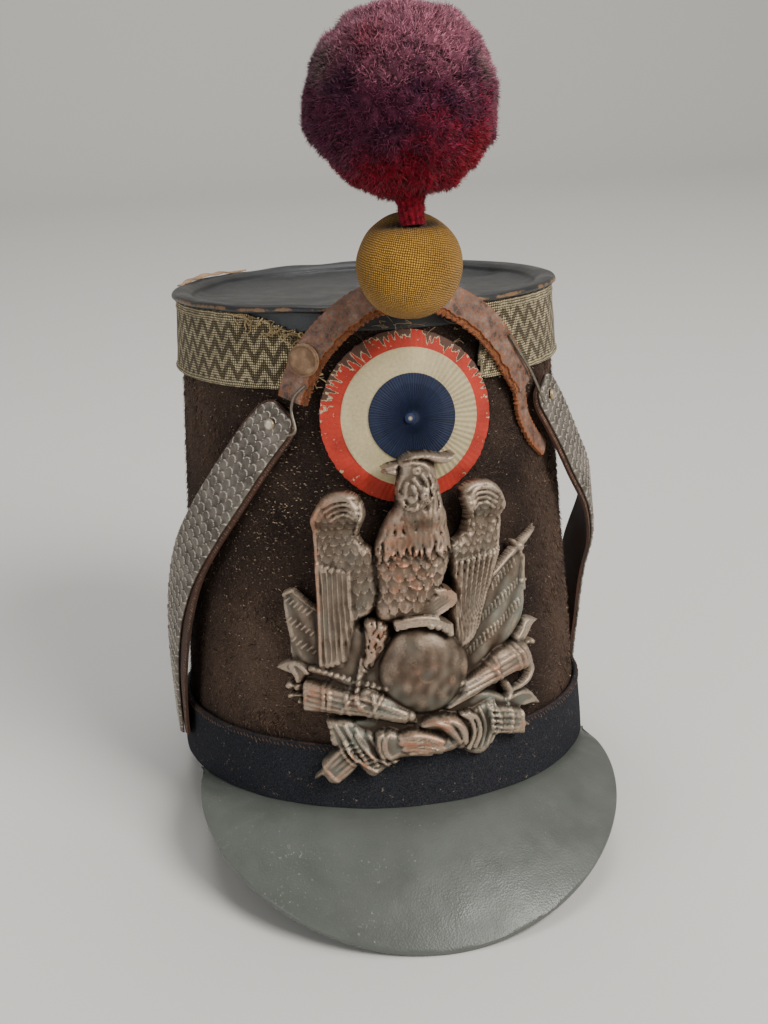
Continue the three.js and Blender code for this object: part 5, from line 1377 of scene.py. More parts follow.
# The plate's parts: u along the body from its middle, z up, both as pairs
PLATE_MOUNDS = {
    "flag_left": (1.8, 2.0, [
        (-53, 86), (-51, 88), (-48, 88.5), (-44, 85.5), (-39, 82), (-34, 80), (-30, 60), (-30, 55),
        (-38, 57), (-46, 59), (-49, 64), (-51, 70), (-52.5, 78)]),
    "flag_right": (1.8, 2.0, [
        (28, 83), (33, 87.5), (39, 92), (45, 96), (50, 94.5), (51.5, 93), (50.5, 86), (50.5, 80),
        (49.5, 72), (46, 66), (36, 58), (26, 50), (12, 45), (10, 56), (13, 68), (20, 75)]),
    "ground_left": (1.5, 1.5, [
        (-36, 80), (-24, 78), (-20.5, 74), (-12, 74), (-9, 72), (-12, 62), (-14, 54), (-12, 46), (-8, 41),
        (-30, 46), (-44, 50), (-50, 61), (-49, 72)]),
    "ground_mid": (3.0, 2.2, [
        (-30, 76), (-24, 76), (-20.5, 73), (-12, 73), (-9.5, 71), (-12, 62), (-14, 54), (-12, 47), (-8, 42),
        (-30, 47.5), (-34, 52), (-34, 66)]),
    "ground_low": (2.8, 2.2, [
        (-33, 35), (-20, 38.5), (-8, 40), (0, 41), (12, 42.5), (24, 44), (32, 41.5), (40, 36), (38, 30),
        (28, 26), (18, 25), (0, 25), (-12, 25), (-26, 28)]),
    "wing_left": (4.2, 4.0, [
        (-38.5, 112), (-38, 117), (-36, 121), (-33, 125), (-29, 127.3), (-24, 127.5), (-20, 126),
        (-17.6, 122.5), (-17, 118), (-18.5, 114), (-20, 110.5), (-18.5, 107), (-15, 104.3), (-13, 100),
        (-13, 85), (-17, 79), (-22, 76), (-25, 68), (-27, 58), (-31, 57), (-36, 57), (-38.5, 60), (-38, 75),
        (-38, 95)]),
    "wing_right": (4.2, 4.0, [
        (19.3, 124.5), (22, 127), (27, 127.8), (32, 127), (36, 123.5), (38, 118), (38.5, 110), (37.5, 103),
        (36, 97), (33, 90), (30, 84), (27, 76), (24, 68), (20, 61), (16, 62), (13, 70), (13, 80), (16, 88),
        (14, 96), (13, 104.5), (17, 105.2), (20, 107.5), (22, 111), (21.5, 115), (19.8, 119)]),
    "thigh": (5.6, 3.6, [
        (-20, 76), (-17, 77.8), (-12, 77), (-10, 73), (-11, 68), (-14, 62), (-19, 56.5), (-22, 50),
        (-24, 44.5), (-25, 49), (-23.5, 56), (-21, 63), (-20, 70)]),
    "body": (8.6, 9.0, [
        (-6, 121.5), (-9, 117.5), (-12.5, 110), (-14.8, 104), (-15.3, 97), (-14.5, 90), (-15.5, 82),
        (-14, 76.5), (-8, 75), (0, 75.5), (6, 79), (10, 86), (12.5, 92), (14.8, 98), (15.3, 104),
        (14.8, 110), (13, 117), (11.5, 123), (10.5, 130), (6, 134), (-4, 133)]),
    "head": (7.4, 5.0, [
        (-5, 134), (-4.5, 128), (-6, 124), (-4.5, 120.8), (-1, 119.8), (2.5, 121), (6, 123), (9.5, 128),
        (10, 133), (9, 137), (6, 139.8), (0, 140), (-4, 138.5)]),
    "beak": (5.6, 1.8, [
        (-4, 137.5), (-8, 137.2), (-10.8, 135.8), (-9.8, 134.8), (-10.5, 133.8), (-7.5, 132.6), (-5, 132),
        (-4, 134)]),
    "comb": (8.0, 1.4, [
        (-4, 138), (0, 140.8), (5, 141), (9, 140.3), (13, 139.3), (17, 139.8), (16, 137.3), (13, 135.6),
        (9, 136), (5, 138), (0, 138)]),
    "fasces_left": (6.0, 4.5, [
        (-44, 52.8), (-36, 52.5), (-28, 50.5), (-20, 47.5), (-10, 43.5), (-3, 40), (-2, 35), (-10, 36),
        (-20, 38.5), (-30, 39.5), (-36, 40.5), (-44, 41)]),
    "fasces_right": (6.4, 4.0, [
        (15, 50), (20, 51.5), (25, 54.5), (33, 59), (44, 60.5), (46.5, 59), (49, 52), (47, 49), (38, 48),
        (28, 45.5), (20, 42.5), (10, 39), (9, 41), (14, 46)]),
    "axe_left": (3.2, 1.2, [
        (-56.3, 56.8), (-53, 59.3), (-49, 60.6), (-45, 59.8), (-41, 55.3), (-43.5, 54), (-45, 51.5),
        (-47.5, 51.5), (-48.5, 54), (-52, 55)]),
    "axe_right": (3.4, 1.2, [
        (42, 61), (45, 64), (48, 67.5), (52, 68.3), (56, 66), (52.5, 64.5), (50, 62), (48, 60), (45, 58)]),
    "axe_low": (3.0, 1.2, [
        (34, 36.5), (38, 39), (43, 40), (47.5, 39.5), (50.5, 36.5), (54, 31), (49, 32.3), (44, 32.6),
        (38, 34)]),
    "fasces_low": (5.0, 4.0, [
        (27, 37.5), (34, 37), (43, 32.5), (43.5, 28), (47.5, 25), (46, 23.7), (43, 25), (42.5, 21.8),
        (34, 24), (27, 27)]),
    "fasces_foot": (4.0, 3.0, [
        (-30, 27.5), (-25, 23.5), (-24, 19.5), (-31, 12), (-36, 11.5), (-38, 14), (-41.5, 11.8),
        (-42, 13.5), (-38.5, 17.5), (-38.5, 20.5)]),
    "drape_left": (4.4, 3.0, [
        (-36.5, 37), (-33, 38), (-27, 38), (-21, 34), (-17, 32), (-12, 24), (-8.5, 20.5), (-13, 18),
        (-19, 14), (-23, 17), (-27, 21.5), (-31, 25.5), (-34.5, 27), (-35, 32)]),
    "drape_right": (4.4, 3.0, [
        (13, 36), (20, 38.5), (29, 41), (31, 37), (32, 31), (29.5, 24), (25, 19), (20, 18.8), (15, 22),
        (11, 24)]),
    "cuff_left": (6.8, 2.6, [
        (-18, 33), (-13, 34), (-9, 33), (-7, 27), (-9, 21.8), (-15, 21.5), (-17, 24)]),
    "hand_left": (7.0, 4.5, [
        (-13, 32.6), (-8, 33.2), (-4, 34.8), (2, 33.5), (10, 30.5), (14, 26.5), (13, 22.8), (4, 21.6),
        (-5, 21.8), (-12, 22.5)]),
    "hand_right": (7.8, 4.5, [
        (-1.5, 34.5), (1, 37.6), (5, 39), (10, 38.3), (15, 36.8), (18.5, 32), (18, 26), (15.5, 22.5),
        (12.5, 23.2), (9.5, 27.5), (5, 31), (1, 32)]),
}


class Relief:
    """Height field of the plate over u and z, with the distance inside its outline and its tints."""

    def __init__(self, pitch):
        self.pitch = pitch
        self.u, self.z = np.meshgrid(np.arange(-59, 62, pitch), np.arange(9.5, 143, pitch))
        self.height = np.zeros_like(self.u)
        self.inside = np.full_like(self.u, -9.0)
        self.mask = {}

    def window(self, rows, margin):
        """The part of the grid round some rows, as slices."""
        low = (rows.min(0) - margin - [self.u[0, 0], self.z[0, 0]]) / self.pitch
        high = (rows.max(0) + margin - [self.u[0, 0], self.z[0, 0]]) / self.pitch
        low, high = np.maximum(low, 0).astype(int), np.maximum(high, 1).astype(int) + 1
        return slice(low[1], high[1]), slice(low[0], high[0])

    def mounds(self, *keys):
        """Raises rounded mounds over outlines: a quarter circle of width edge, then flat."""
        for key in keys:
            rise, edge, rows = PLATE_MOUNDS[key]
            outline = smooth_outline(rows)
            part = self.window(outline, 2.0)
            away = distance_inside(outline, self.u[part], self.z[part])
            share = np.clip(away / edge, 0, 1)
            height = np.where(away > 0, 0.35 + (rise - 0.35) * np.sqrt(1 - (1 - share) ** 2), 0)
            self.height[part] = np.maximum(self.height[part], height)
            self.inside[part] = np.maximum(self.inside[part], away)
            self.mask[key] = np.zeros(self.u.shape)
            self.mask[key][part] = away

    def stroke(self, rows, radius, rise, base=None, grow=False, within=None):
        """Raises a round ridge along a curve, on what is there or from a base height."""
        rows = np.asarray(rows, float)
        path = curve_through(rows, np.linspace(0, 1, 8 * len(rows) - 7)) if len(rows) > 2 else rows
        part = self.window(path, np.max(radius) + 1.0)
        away, share = distance_along(path, self.u[part], self.z[part])
        wide = np.interp(share, np.linspace(0, 1, np.size(radius)),
                         np.atleast_1d(radius)) if np.size(radius) > 1 else radius
        held = 1.0 if within is None else ease(self.mask[within][part], -0.2, 0.8)
        arched = np.sqrt(np.clip(1 - (away / wide) ** 2, 0, 1)) * held
        low = self.height[part] if base is None else base[part] if np.ndim(base) else base
        self.height[part] = np.where(arched > 0, np.maximum(self.height[part], low + rise * arched),
                                     self.height[part])
        if grow:
            self.inside[part] = np.maximum(self.inside[part], wide - away)

    def dot(self, u, z, radius, rise, base=None, grow=False):
        """A round boss: a stroke of no length."""
        self.stroke([(u, z), (u + 0.01, z)], radius, rise, base, grow)


def smooth_outline(rows, steps=5):
    """Closed uniform Catmull-Rom curve through the rows."""
    rows = np.asarray(rows, float)
    a, b, c, d = (np.roll(rows, k, 0)[:, None] for k in (1, 0, -1, -2))
    w = np.linspace(0, 1, steps, endpoint=False)[None, :, None]
    curve = b + 0.5 * ((c - a) * w + (2 * a - 5 * b + 4 * c - d) * w ** 2 + (3 * b - a - 3 * c + d) * w ** 3)
    return curve.reshape(-1, 2)


def distance_inside(outline, u, z):
    """Distance from an outline, positive inside it."""
    a, b = outline, np.roll(outline, -1, 0)
    point = np.stack([u, z], -1)[..., None, :]
    span = b - a
    share = np.clip(((point - a) * span).sum(-1) / np.maximum((span ** 2).sum(-1), 1e-12), 0, 1)
    away = np.linalg.norm(point - a - span * share[..., None], axis=-1).min(-1)
    height = np.where(np.abs(span[:, 1]) < 1e-9, 1e-9, span[:, 1])
    crossed = ((a[:, 1] > point[..., 1]) != (b[:, 1] > point[..., 1])) & (
        point[..., 0] < a[:, 0] + span[:, 0] * (point[..., 1] - a[:, 1]) / height)
    return np.where(crossed.sum(-1) % 2 == 1, away, -away)


def distance_along(path, u, z):
    """Distance from a path, and the share of its length at which the nearest place lies."""
    a, span = path[:-1], np.diff(path, axis=0)
    point = np.stack([u, z], -1)[..., None, :]
    share = np.clip(((point - a) * span).sum(-1) / np.maximum((span ** 2).sum(-1), 1e-12), 0, 1)
    away = np.linalg.norm(point - a - span * share[..., None], axis=-1)
    near = away.argmin(-1)
    held = np.take_along_axis(share, near[..., None], -1)[..., 0]
    return away.min(-1), (near + held) / len(a)


def carve_plate(relief):
    """Raises the plate's parts, from the lowest layer to the highest."""
    relief.mounds("flag_left", "flag_right", "ground_left", "ground_mid", "ground_low", "axe_left",
                  "axe_right", "axe_low")
    for key, slope in (("flag_left", 0.45), ("flag_right", -0.6)):
        fold = np.sin((relief.u + relief.z * slope) * 0.62)
        relief.height += 0.45 * fold * ease(relief.mask[key], 0.5, 3.5)
    for start, stop in (((33, 84), (45, 92)), ((26, 72), (46, 83.5)), ((20, 60), (46, 75)),
                        ((-50.5, 84), (-41, 79.5)), ((-50, 76), (-40, 71.5)), ((-48, 68.5), (-39.5, 64))):
        rib_row(relief, start, stop)
    relief.stroke([(14, 69), (22, 79), (33, 88.5), (45, 96.5)], 1.2, 1.8, 1.4, grow=True)
    relief.stroke([(50.6, 93), (49.8, 86), (50, 80)], 0.9, 1.2)
    relief.stroke([(-52.3, 86), (-48, 88), (-44, 85), (-38, 81)], 1.1, 1.1)
    relief.stroke([(44, 95), (52, 99), (60, 103)], [1.6, 1.6, 0.5], 1.6, 1.0, grow=True)
    relief.stroke([(46, 99.6), (48, 97), (49.6, 93.5)], 1.1, 1.6, 1.2, grow=True)
    relief.dot(49, 97, 2.2, 2.4, 1.2, grow=True)
    for u, z in ((48.6, 83), (50.8, 83.4), (49.6, 81)):
        relief.dot(u, z, 1.0, 1.6, 1.0, grow=True)
    carve_wings(relief)
    carve_globe(relief)
    carve_bird(relief)
    carve_trophy(relief)


def rib_row(relief, start, stop):
    """A row of plain slanted ribs between two places."""
    start, stop = np.array(start, float), np.array(stop, float)
    along = unit(stop - start)
    lean = np.array([-along[1], along[0]]) * 1.1 + along * 0.5
    for place in mix(start, stop, np.linspace(0, 1, int(np.linalg.norm(stop - start) / 1.7))[:, None]):
        relief.stroke([place - lean, place + lean], 0.55, 0.7)


def bead_row(relief, start, stop, pitch, radius, rise):
    """A row of plain beads between two places."""
    start, stop = np.array(start, float), np.array(stop, float)
    count = int(np.linalg.norm(stop - start) / pitch) + 1
    for u, z in mix(start, stop, np.linspace(0, 1, count)[:, None]):
        relief.dot(u, z, radius, rise)


def feathers(relief, key, width, pitch, rise, low, high, turn=0.0, left=-99.0):
    """Overlapping round feathers over one part between two heights, each with a ridge and a dot."""
    held = (ease(relief.mask[key], 0.3, 1.4) * ease(relief.z, low - 1, low + 1)
            * (1 - ease(relief.z, high - 1, high + 1)))
    held = held * ease(relief.u, left - 0.8, left + 0.8)
    place = np.stack([relief.u, relief.z], -1)
    u, z = relief.u + 0.5 * ripple(place, 9, 181), relief.z + 0.6 * ripple(place, 11, 182)
    c, s = math.cos(math.radians(turn)), math.sin(math.radians(turn))
    along, across = z * c + u * s, u * c - z * s
    tiles, lips = scale_tiles(along, across, pitch, width)
    row = np.floor(along / pitch + 0.25)
    middle = (np.mod(across / width + 0.5 * np.mod(row, 2), 1) - 0.5) * width
    quill = np.exp(-((middle / 0.35) ** 2)) * (tiles > 0.3)
    relief.height += held * (tiles * rise - rise * 0.4 + lips * 0.35 * rise + 0.25 * quill * rise)


def locks(relief, key, rows, radius, rise, seed):
    """Flame-like locks of feathers inside one part: short S-shaped ridges that fade to a point.

    rows name each tier's left, right and height, and how far its locks fan out and hang down.
    """
    rng = np.random.default_rng(seed)
    ground = relief.height.copy()
    for left, right, z, fan, length in rows:
        ground += 0.12
        count = max(int((right - left) / (radius * 1.55)), 2)
        for share in np.linspace(0, 1, count):
            u, lean = mix(left, right, share) + rng.normal(0, 0.3), (share - 0.5) * fan + rng.normal(0, 0.5)
            sway, top = rng.choice([-1, 1]) * rng.uniform(0.3, 0.9), z + rng.normal(0, 1.2)
            fall = length * rng.uniform(0.75, 1.15)
            relief.stroke([(u, top), (u + lean * 0.3 + sway, top - fall * 0.35),
                           (u + lean * 0.7 - sway, top - fall * 0.7), (u + lean, top - fall)],
                          [radius, radius * 1.05, radius * 0.8, radius * 0.3], rise, ground, within=key)


def carve_wings(relief):
    """Wings: small round feathers above, long flutes below, curled tufts at their tops."""
    for key in ("wing_left", "wing_right"):
        relief.mounds(key)
        feathers(relief, key, 3.1, 3.3, 0.75, 96, 120)
    feathers(relief, "wing_left", 3.6, 5.2, 0.9, 77, 97, turn=8, left=-24.5)
    for k, u in enumerate(np.arange(-36.8, -24.0, 2.0)):
        relief.stroke([(u, 99 - k * 0.6), (u + 0.3, 80), (u + 0.6 + max(k - 3, 0) * 0.5, 58 + k * 0.9)],
                      1.15, 1.0, within="wing_left")
        relief.stroke([(u, 98 - k * 0.6), (u + 0.3, 80), (u + 0.6 + max(k - 3, 0) * 0.5, 60 + k * 0.9)],
                      0.3, 0.35, within="wing_left")
    for k in range(9):
        share = k / 8
        for radius, rise in ((1.1, 1.0), (0.3, 0.35)):
            relief.stroke([(mix(36.3, 16.5, share), mix(99, 96, share)),
                           (mix(31, 15.5, share), mix(84, 82, share)),
                           (mix(25, 15, share), mix(68, 63, share))], radius, rise, within="wing_right")
    relief.stroke([(-20, 125.5), (-25, 126.3), (-30, 125.2), (-34, 121.5), (-36.8, 115), (-37.3, 105),
                   (-37, 90), (-37, 60)], 1.3, 1.2, within="wing_left")
    relief.stroke([(20, 124.5), (25, 126.6), (31, 126), (35.5, 121.5), (37.3, 114), (37, 105), (34, 93),
                   (29, 82), (25, 70)], 1.3, 1.2, within="wing_right")
    for k in range(4):
        low, wide = 124.2 - k * 1.9, 0.85 - 0.05 * k
        relief.stroke([(-32 + k * 0.8, low - 2), (-28 + k * 0.4, low), (-23, low + 0.3),
                       (-19.8 + 0.2 * k, low - 3)], wide, 0.8)
        relief.stroke([(34 - k * 0.8, low - 2), (30 - k * 0.4, low + 0.2), (25, low + 0.4),
                       (21.5 + 0.2 * k, low - 3)], wide, 0.8)
    for rows in ([(-18.2, 122.5), (-17.8, 119), (-18.8, 116.2)],
                 [(-18.2, 117.5), (-19.2, 114.5), (-20.6, 111.5)],
                 [(-19.4, 113), (-20.2, 110), (-18.8, 107.6)], [(-19.2, 109), (-17.2, 106.4), (-14.8, 104.6)],
                 [(20.4, 121.5), (21.2, 117.5), (22.8, 114)], [(21.8, 116), (22.8, 112), (21.4, 109)],
                 [(22.4, 111), (20.4, 107.6), (17, 105.6)]):
        relief.stroke(rows, 1.15, 1.2)
        relief.dot(*rows[-1], 1.2, 1.0)


def carve_globe(relief):
    """Globe: a ball with a dimple in its middle and a plume lying over its top."""
    away = GLOBE_RADIUS - np.hypot(relief.u - GLOBE_MIDDLE[0], relief.z - GLOBE_MIDDLE[1])
    share = np.clip(away / GLOBE_RADIUS, 0, 1)
    ball = np.where(away > 0, 1.0 + 8.6 * np.sqrt(1 - (1 - share) ** 2), 0)
    dimple = np.hypot(relief.u - 2, relief.z - 56)
    ball = (ball - 0.25 * np.exp(-((dimple / 2.4) ** 4))
            + 0.08 * np.exp(-(((dimple - 3.0) / 0.8) ** 2)) * (away > 0))
    relief.height = np.maximum(relief.height, ball)
    relief.inside = np.maximum(relief.inside, away)
    relief.mask["globe"] = away


def carve_bird(relief):
    """Rooster: scaled breast, wavy hackles, comb and wattle, plumed tail and a feathered thigh."""
    relief.mounds("thigh")
    locks(relief, "thigh", [(-19, -11.5, 77, -1, 6), (-19.5, -12.5, 71.5, -4, 7), (-21, -16, 65, -4, 8)],
          0.8, 0.9, 191)
    for u, z in ((-18.5, 76.5), (-16, 77.6), (-13.4, 76.8), (-11.6, 74.6)):
        relief.dot(u, z, 1.4, 1.0)
    relief.stroke([(-21, 62), (-22.5, 54), (-24, 45)], 1.0, 1.4, 3.4, grow=True)
    bead_row(relief, (-22.8, 55), (-24, 45), 2.2, 1.25, 1.2)
    relief.mounds("body")
    feathers(relief, "body", 4.1, 4.2, 1.15, 78, 104)
    locks(relief, "body", [(-5.5, 9.5, 125, 2, 10), (-8.5, 11, 120, 3, 11), (-11.5, 12.5, 115, 2, 11),
                           (-13, 13.5, 110, 1, 9)], 1.1, 1.0, 192)
    for k in range(5):
        inset = 1.3 * k
        relief.stroke([(-4, 77 + inset), (4, 77.5 + inset), (10 - 0.5 * inset, 79.5 + inset),
                       (14.3 - inset, 83 + 0.4 * inset), (13.5 - inset, 86.5), (10.5 - 0.6 * inset, 87.3)],
                      0.95, 0.9, 7.2, grow=True)
    for k in range(3):
        relief.stroke([(-8, 74.2 + k * 1.3), (0, 75.3 + k * 1.3), (6, 74.6 + k * 1.2), (12, 71.8 + k)], 0.9,
                      0.9, 8.4, grow=True)
    for u, z in ((4.5, 74.2), (7.2, 73.6), (9.8, 72.2), (11.6, 70.6)):
        relief.dot(u, z, 1.3, 1.2, 8.4)
    relief.mounds("head", "beak", "comb")
    for k in range(7):
        relief.stroke([(-2.5 + k * 2.4, 138.4 + 0.3 * (k < 4)), (-1.9 + k * 2.5, 140.4 - 0.25 * k)], 0.8, 0.5)
    relief.stroke([(-3.5, 137), (0, 137.6), (4, 136.8), (6.5, 134.8)], 0.9, 0.9)
    relief.dot(1.8, 134.4, 1.7, 1.0)
    relief.height -= 0.8 * np.exp(-(np.hypot(relief.u - 1.8, relief.z - 134.4) / 0.6) ** 4)
    relief.height -= (0.7 * np.exp(-((relief.z - 134.9) / 0.45) ** 2) * (relief.u < -4)
                      * (relief.mask["beak"] > 0))
    relief.stroke([(-3.2, 132.5), (-5.2, 127.5), (-3.6, 122.4), (-0.2, 120.6), (2.6, 123.6), (2.6, 128),
                   (0.4, 131.5)], 0.85, 1.1)
    relief.stroke([(-2, 130), (-2.6, 126), (-0.8, 123.4), (0.8, 125.5), (0, 129)], 0.8, 0.8)
    relief.stroke([(3.6, 132.6), (5.2, 129.6), (4.6, 126.2), (3.4, 128.6)], 0.8, 0.9)
    locks(relief, "head", [(4.6, 9, 131.5, 1, 7), (3.6, 8.6, 126.5, 0.5, 6)], 0.7, 0.8, 193)


def rods(relief, key, start, stop, count, spread, radius, rise):
    """A bundle of rods side by side between two places, kept to one part."""
    start, stop = np.array(start, float), np.array(stop, float)
    aside = unit(np.array([start[1] - stop[1], stop[0] - start[0]]))
    for k in np.linspace(-0.5, 0.5, count):
        move = aside * k * spread
        relief.stroke([start + move, mix(start, stop, 0.5) + move, stop + move * 0.8], radius, rise,
                      within=key)


def lacing(relief, places, half, radius, rise):
    """Crossed bands over a bundle at some places along it."""
    for (u, z), turn in places:
        along = np.array([math.cos(math.radians(turn)), math.sin(math.radians(turn))])
        aside = np.array([-along[1], along[0]])
        for sign in (-1, 1):
            relief.stroke([(u, z) - aside * half - along * sign * 1.8, (u, z),
                           (u, z) + aside * half + along * sign * 1.8], radius, rise)


def carve_trophy(relief):
    """Fasces, axes, drapes and clasped hands below the globe."""
    relief.mounds("fasces_foot", "drape_left", "drape_right", "fasces_left", "fasces_right", "fasces_low")
    relief.stroke([(-20, 47.5), (-12, 43.5), (-4, 38.6)], [3.0, 2.6, 2.0], 2.0, 4.0, grow=True)
    rods(relief, "fasces_left", (-44, 47.2), (-6, 39.2), 5, 9.0, 1.2, 1.1)
    rods(relief, "fasces_right", (10, 42.5), (47, 54.5), 5, 9.5, 1.2, 1.1)
    rods(relief, "fasces_low", (26, 32), (43, 27.5), 5, 9.5, 1.2, 1.1)
    rods(relief, "fasces_foot", (-26, 23.5), (-36, 14), 5, 8.5, 1.1, 1.0)
    lacing(relief, [((-27, 45), -12), ((-17, 43), -14), ((30, 51), 17)], 5.2, 0.8, 0.8)
    for rows in ([(-36, 52.3), (-35.4, 46.5), (-36.2, 40.8)], [(-34, 52), (-33.4, 46.3), (-34.2, 40.5)],
                 [(-43.2, 52.4), (-42.6, 47), (-43.3, 41.6)], [(38.3, 59.3), (40, 54), (41, 49)],
                 [(40.8, 60), (42.5, 54.5), (43.5, 49.3)], [(36.5, 36), (36, 30), (35, 24.5)],
                 [(41.8, 33), (41.6, 28), (41, 23.5)], [(-30.6, 26.6), (-28, 22.5), (-25.4, 19.5)],
                 [(-37.6, 19.2), (-34.4, 15.4), (-31.6, 12.4)]):
        relief.stroke(rows, 0.9, 0.9)
    for u, z, radius in ((-50.5, 50, 1.8), (-50, 46, 1.4), (-47, 49.5, 1.6), (51, 58, 1.6), (48, 52, 1.6),
                         (-46, 44, 1.3)):
        relief.dot(u, z, radius, 2.6, 1.6, grow=True)
    for rows, radius in (([(-44, 50), (-51, 50)], 1.1), ([(-44, 46.5), (-50.5, 46)], 1.0),
                         ([(45, 58), (52, 58)], 1.1)):
        relief.stroke(rows, radius, 1.6, 1.2, grow=True)
    relief.stroke([(50, 50), (51, 46.5), (48.5, 43), (44.5, 41.3), (38, 40.6)], [1.5, 1.7, 1.5, 1.3, 1.2],
                  1.8, 1.0, grow=True)
    relief.stroke([(48, 52), (49.8, 50)], 1.4, 1.6, 1.2, grow=True)
    relief.stroke([(37, 44), (38.5, 40), (36, 37)], 1.5, 1.6, 1.6, grow=True)
    relief.stroke([(-55.5, 57), (-51, 59.2), (-46.5, 58.8), (-42.5, 55.6)], 0.8, 0.6)
    relief.stroke([(-49, 58), (-47, 54), (-46.5, 51)], 1.2, 1.0)
    relief.stroke([(37, 38), (43, 38.8), (48, 37.4), (52.5, 32.4)], 0.8, 0.6)
    relief.stroke([(-41, 57.5), (-34, 56), (-26, 52.5), (-12, 49)], [1.4, 1.6, 1.6, 1.2], 1.2, 2.6, grow=True)
    bead_row(relief, (-40, 58), (-13, 50), 2.2, 1.1, 0.9)
    bead_row(relief, (-26, 50), (-22, 44), 1.9, 1.3, 1.2)
    bead_row(relief, (-34, 37.5), (-35, 27), 2.4, 1.2, 1.0)
    for k in range(5):
        relief.stroke([(-33 + k * 4.2, 37 - k * 1.2), (-29 + k * 4.2, 30 - k * 1.6), (-25 + k * 4, 21.5 - k)],
                      [0.6, 1.1, 0.7], 0.8, within="drape_left")
        relief.stroke([(15.5 + k * 3.6, 37 + k * 0.6), (18.5 + k * 3.0, 30), (17 + k * 2.6, 21.5 + k * 0.3)],
                      [0.6, 1.1, 0.7], 0.8, within="drape_right")
    for rows in ([(-29, 29), (-26.5, 24.5), (-22.5, 20.3), (-17.5, 17)],
                 [(-24.5, 32), (-22, 27), (-18, 22.8), (-13, 20)]):
        relief.stroke(rows, 0.8, 1.2)
    rib_row(relief, (-27, 28.6), (-17.5, 19.6))
    rib_row(relief, (28.5, 38), (29.5, 27))
    relief.mounds("cuff_left")
    for u in (-15.8, -13.2):
        relief.stroke([(u + 1, 33.5), (u - 0.6, 30.5), (u - 0.6, 26), (u + 1.2, 22)], 1.0, 0.9)
    relief.mounds("hand_left", "hand_right")
    for u in (18.2, 20.6):
        relief.stroke([(u - 3, 37.2), (u, 34.5), (u + 1, 29), (u - 1.4, 23.4)], 1.0, 1.0, 6.0)
    for rows, radius in (([(-1.2, 35), (2.6, 36.6), (7, 35.4), (10, 31.4), (12.4, 26.8)], 1.9),
                         ([(8, 37.4), (12, 35.4), (14.6, 31), (15.4, 26.4)], 1.7),
                         ([(-8, 31.4), (-3, 31.8), (2, 30.8), (6.6, 28)], 1.7),
                         ([(-8, 29), (-2.6, 28.8), (2.4, 27.6), (7, 25)], 1.6),
                         ([(-7, 26.6), (-2, 26.2), (2.4, 25.2), (6, 23.2)], 1.5),
                         ([(-5, 24.2), (-1, 23.8), (2.4, 22.8)], 1.2)):
        relief.stroke(rows, [radius * 0.85, radius, radius, radius * 0.8], 1.5)


def kept_cells(relief):
    """Cells inside the outline; where two touch only at a corner, a third is kept."""
    held = relief.inside > -0.35 * relief.pitch
    cells = held[:-1, :-1] & held[1:, :-1] & held[:-1, 1:] & held[1:, 1:]
    for _ in range(4):
        a, b, c, d = cells[:-1, :-1], cells[:-1, 1:], cells[1:, :-1], cells[1:, 1:]
        cells[:-1, 1:] |= a & d & ~b & ~c
        cells[:-1, :-1] |= b & c & ~a & ~d
    return cells


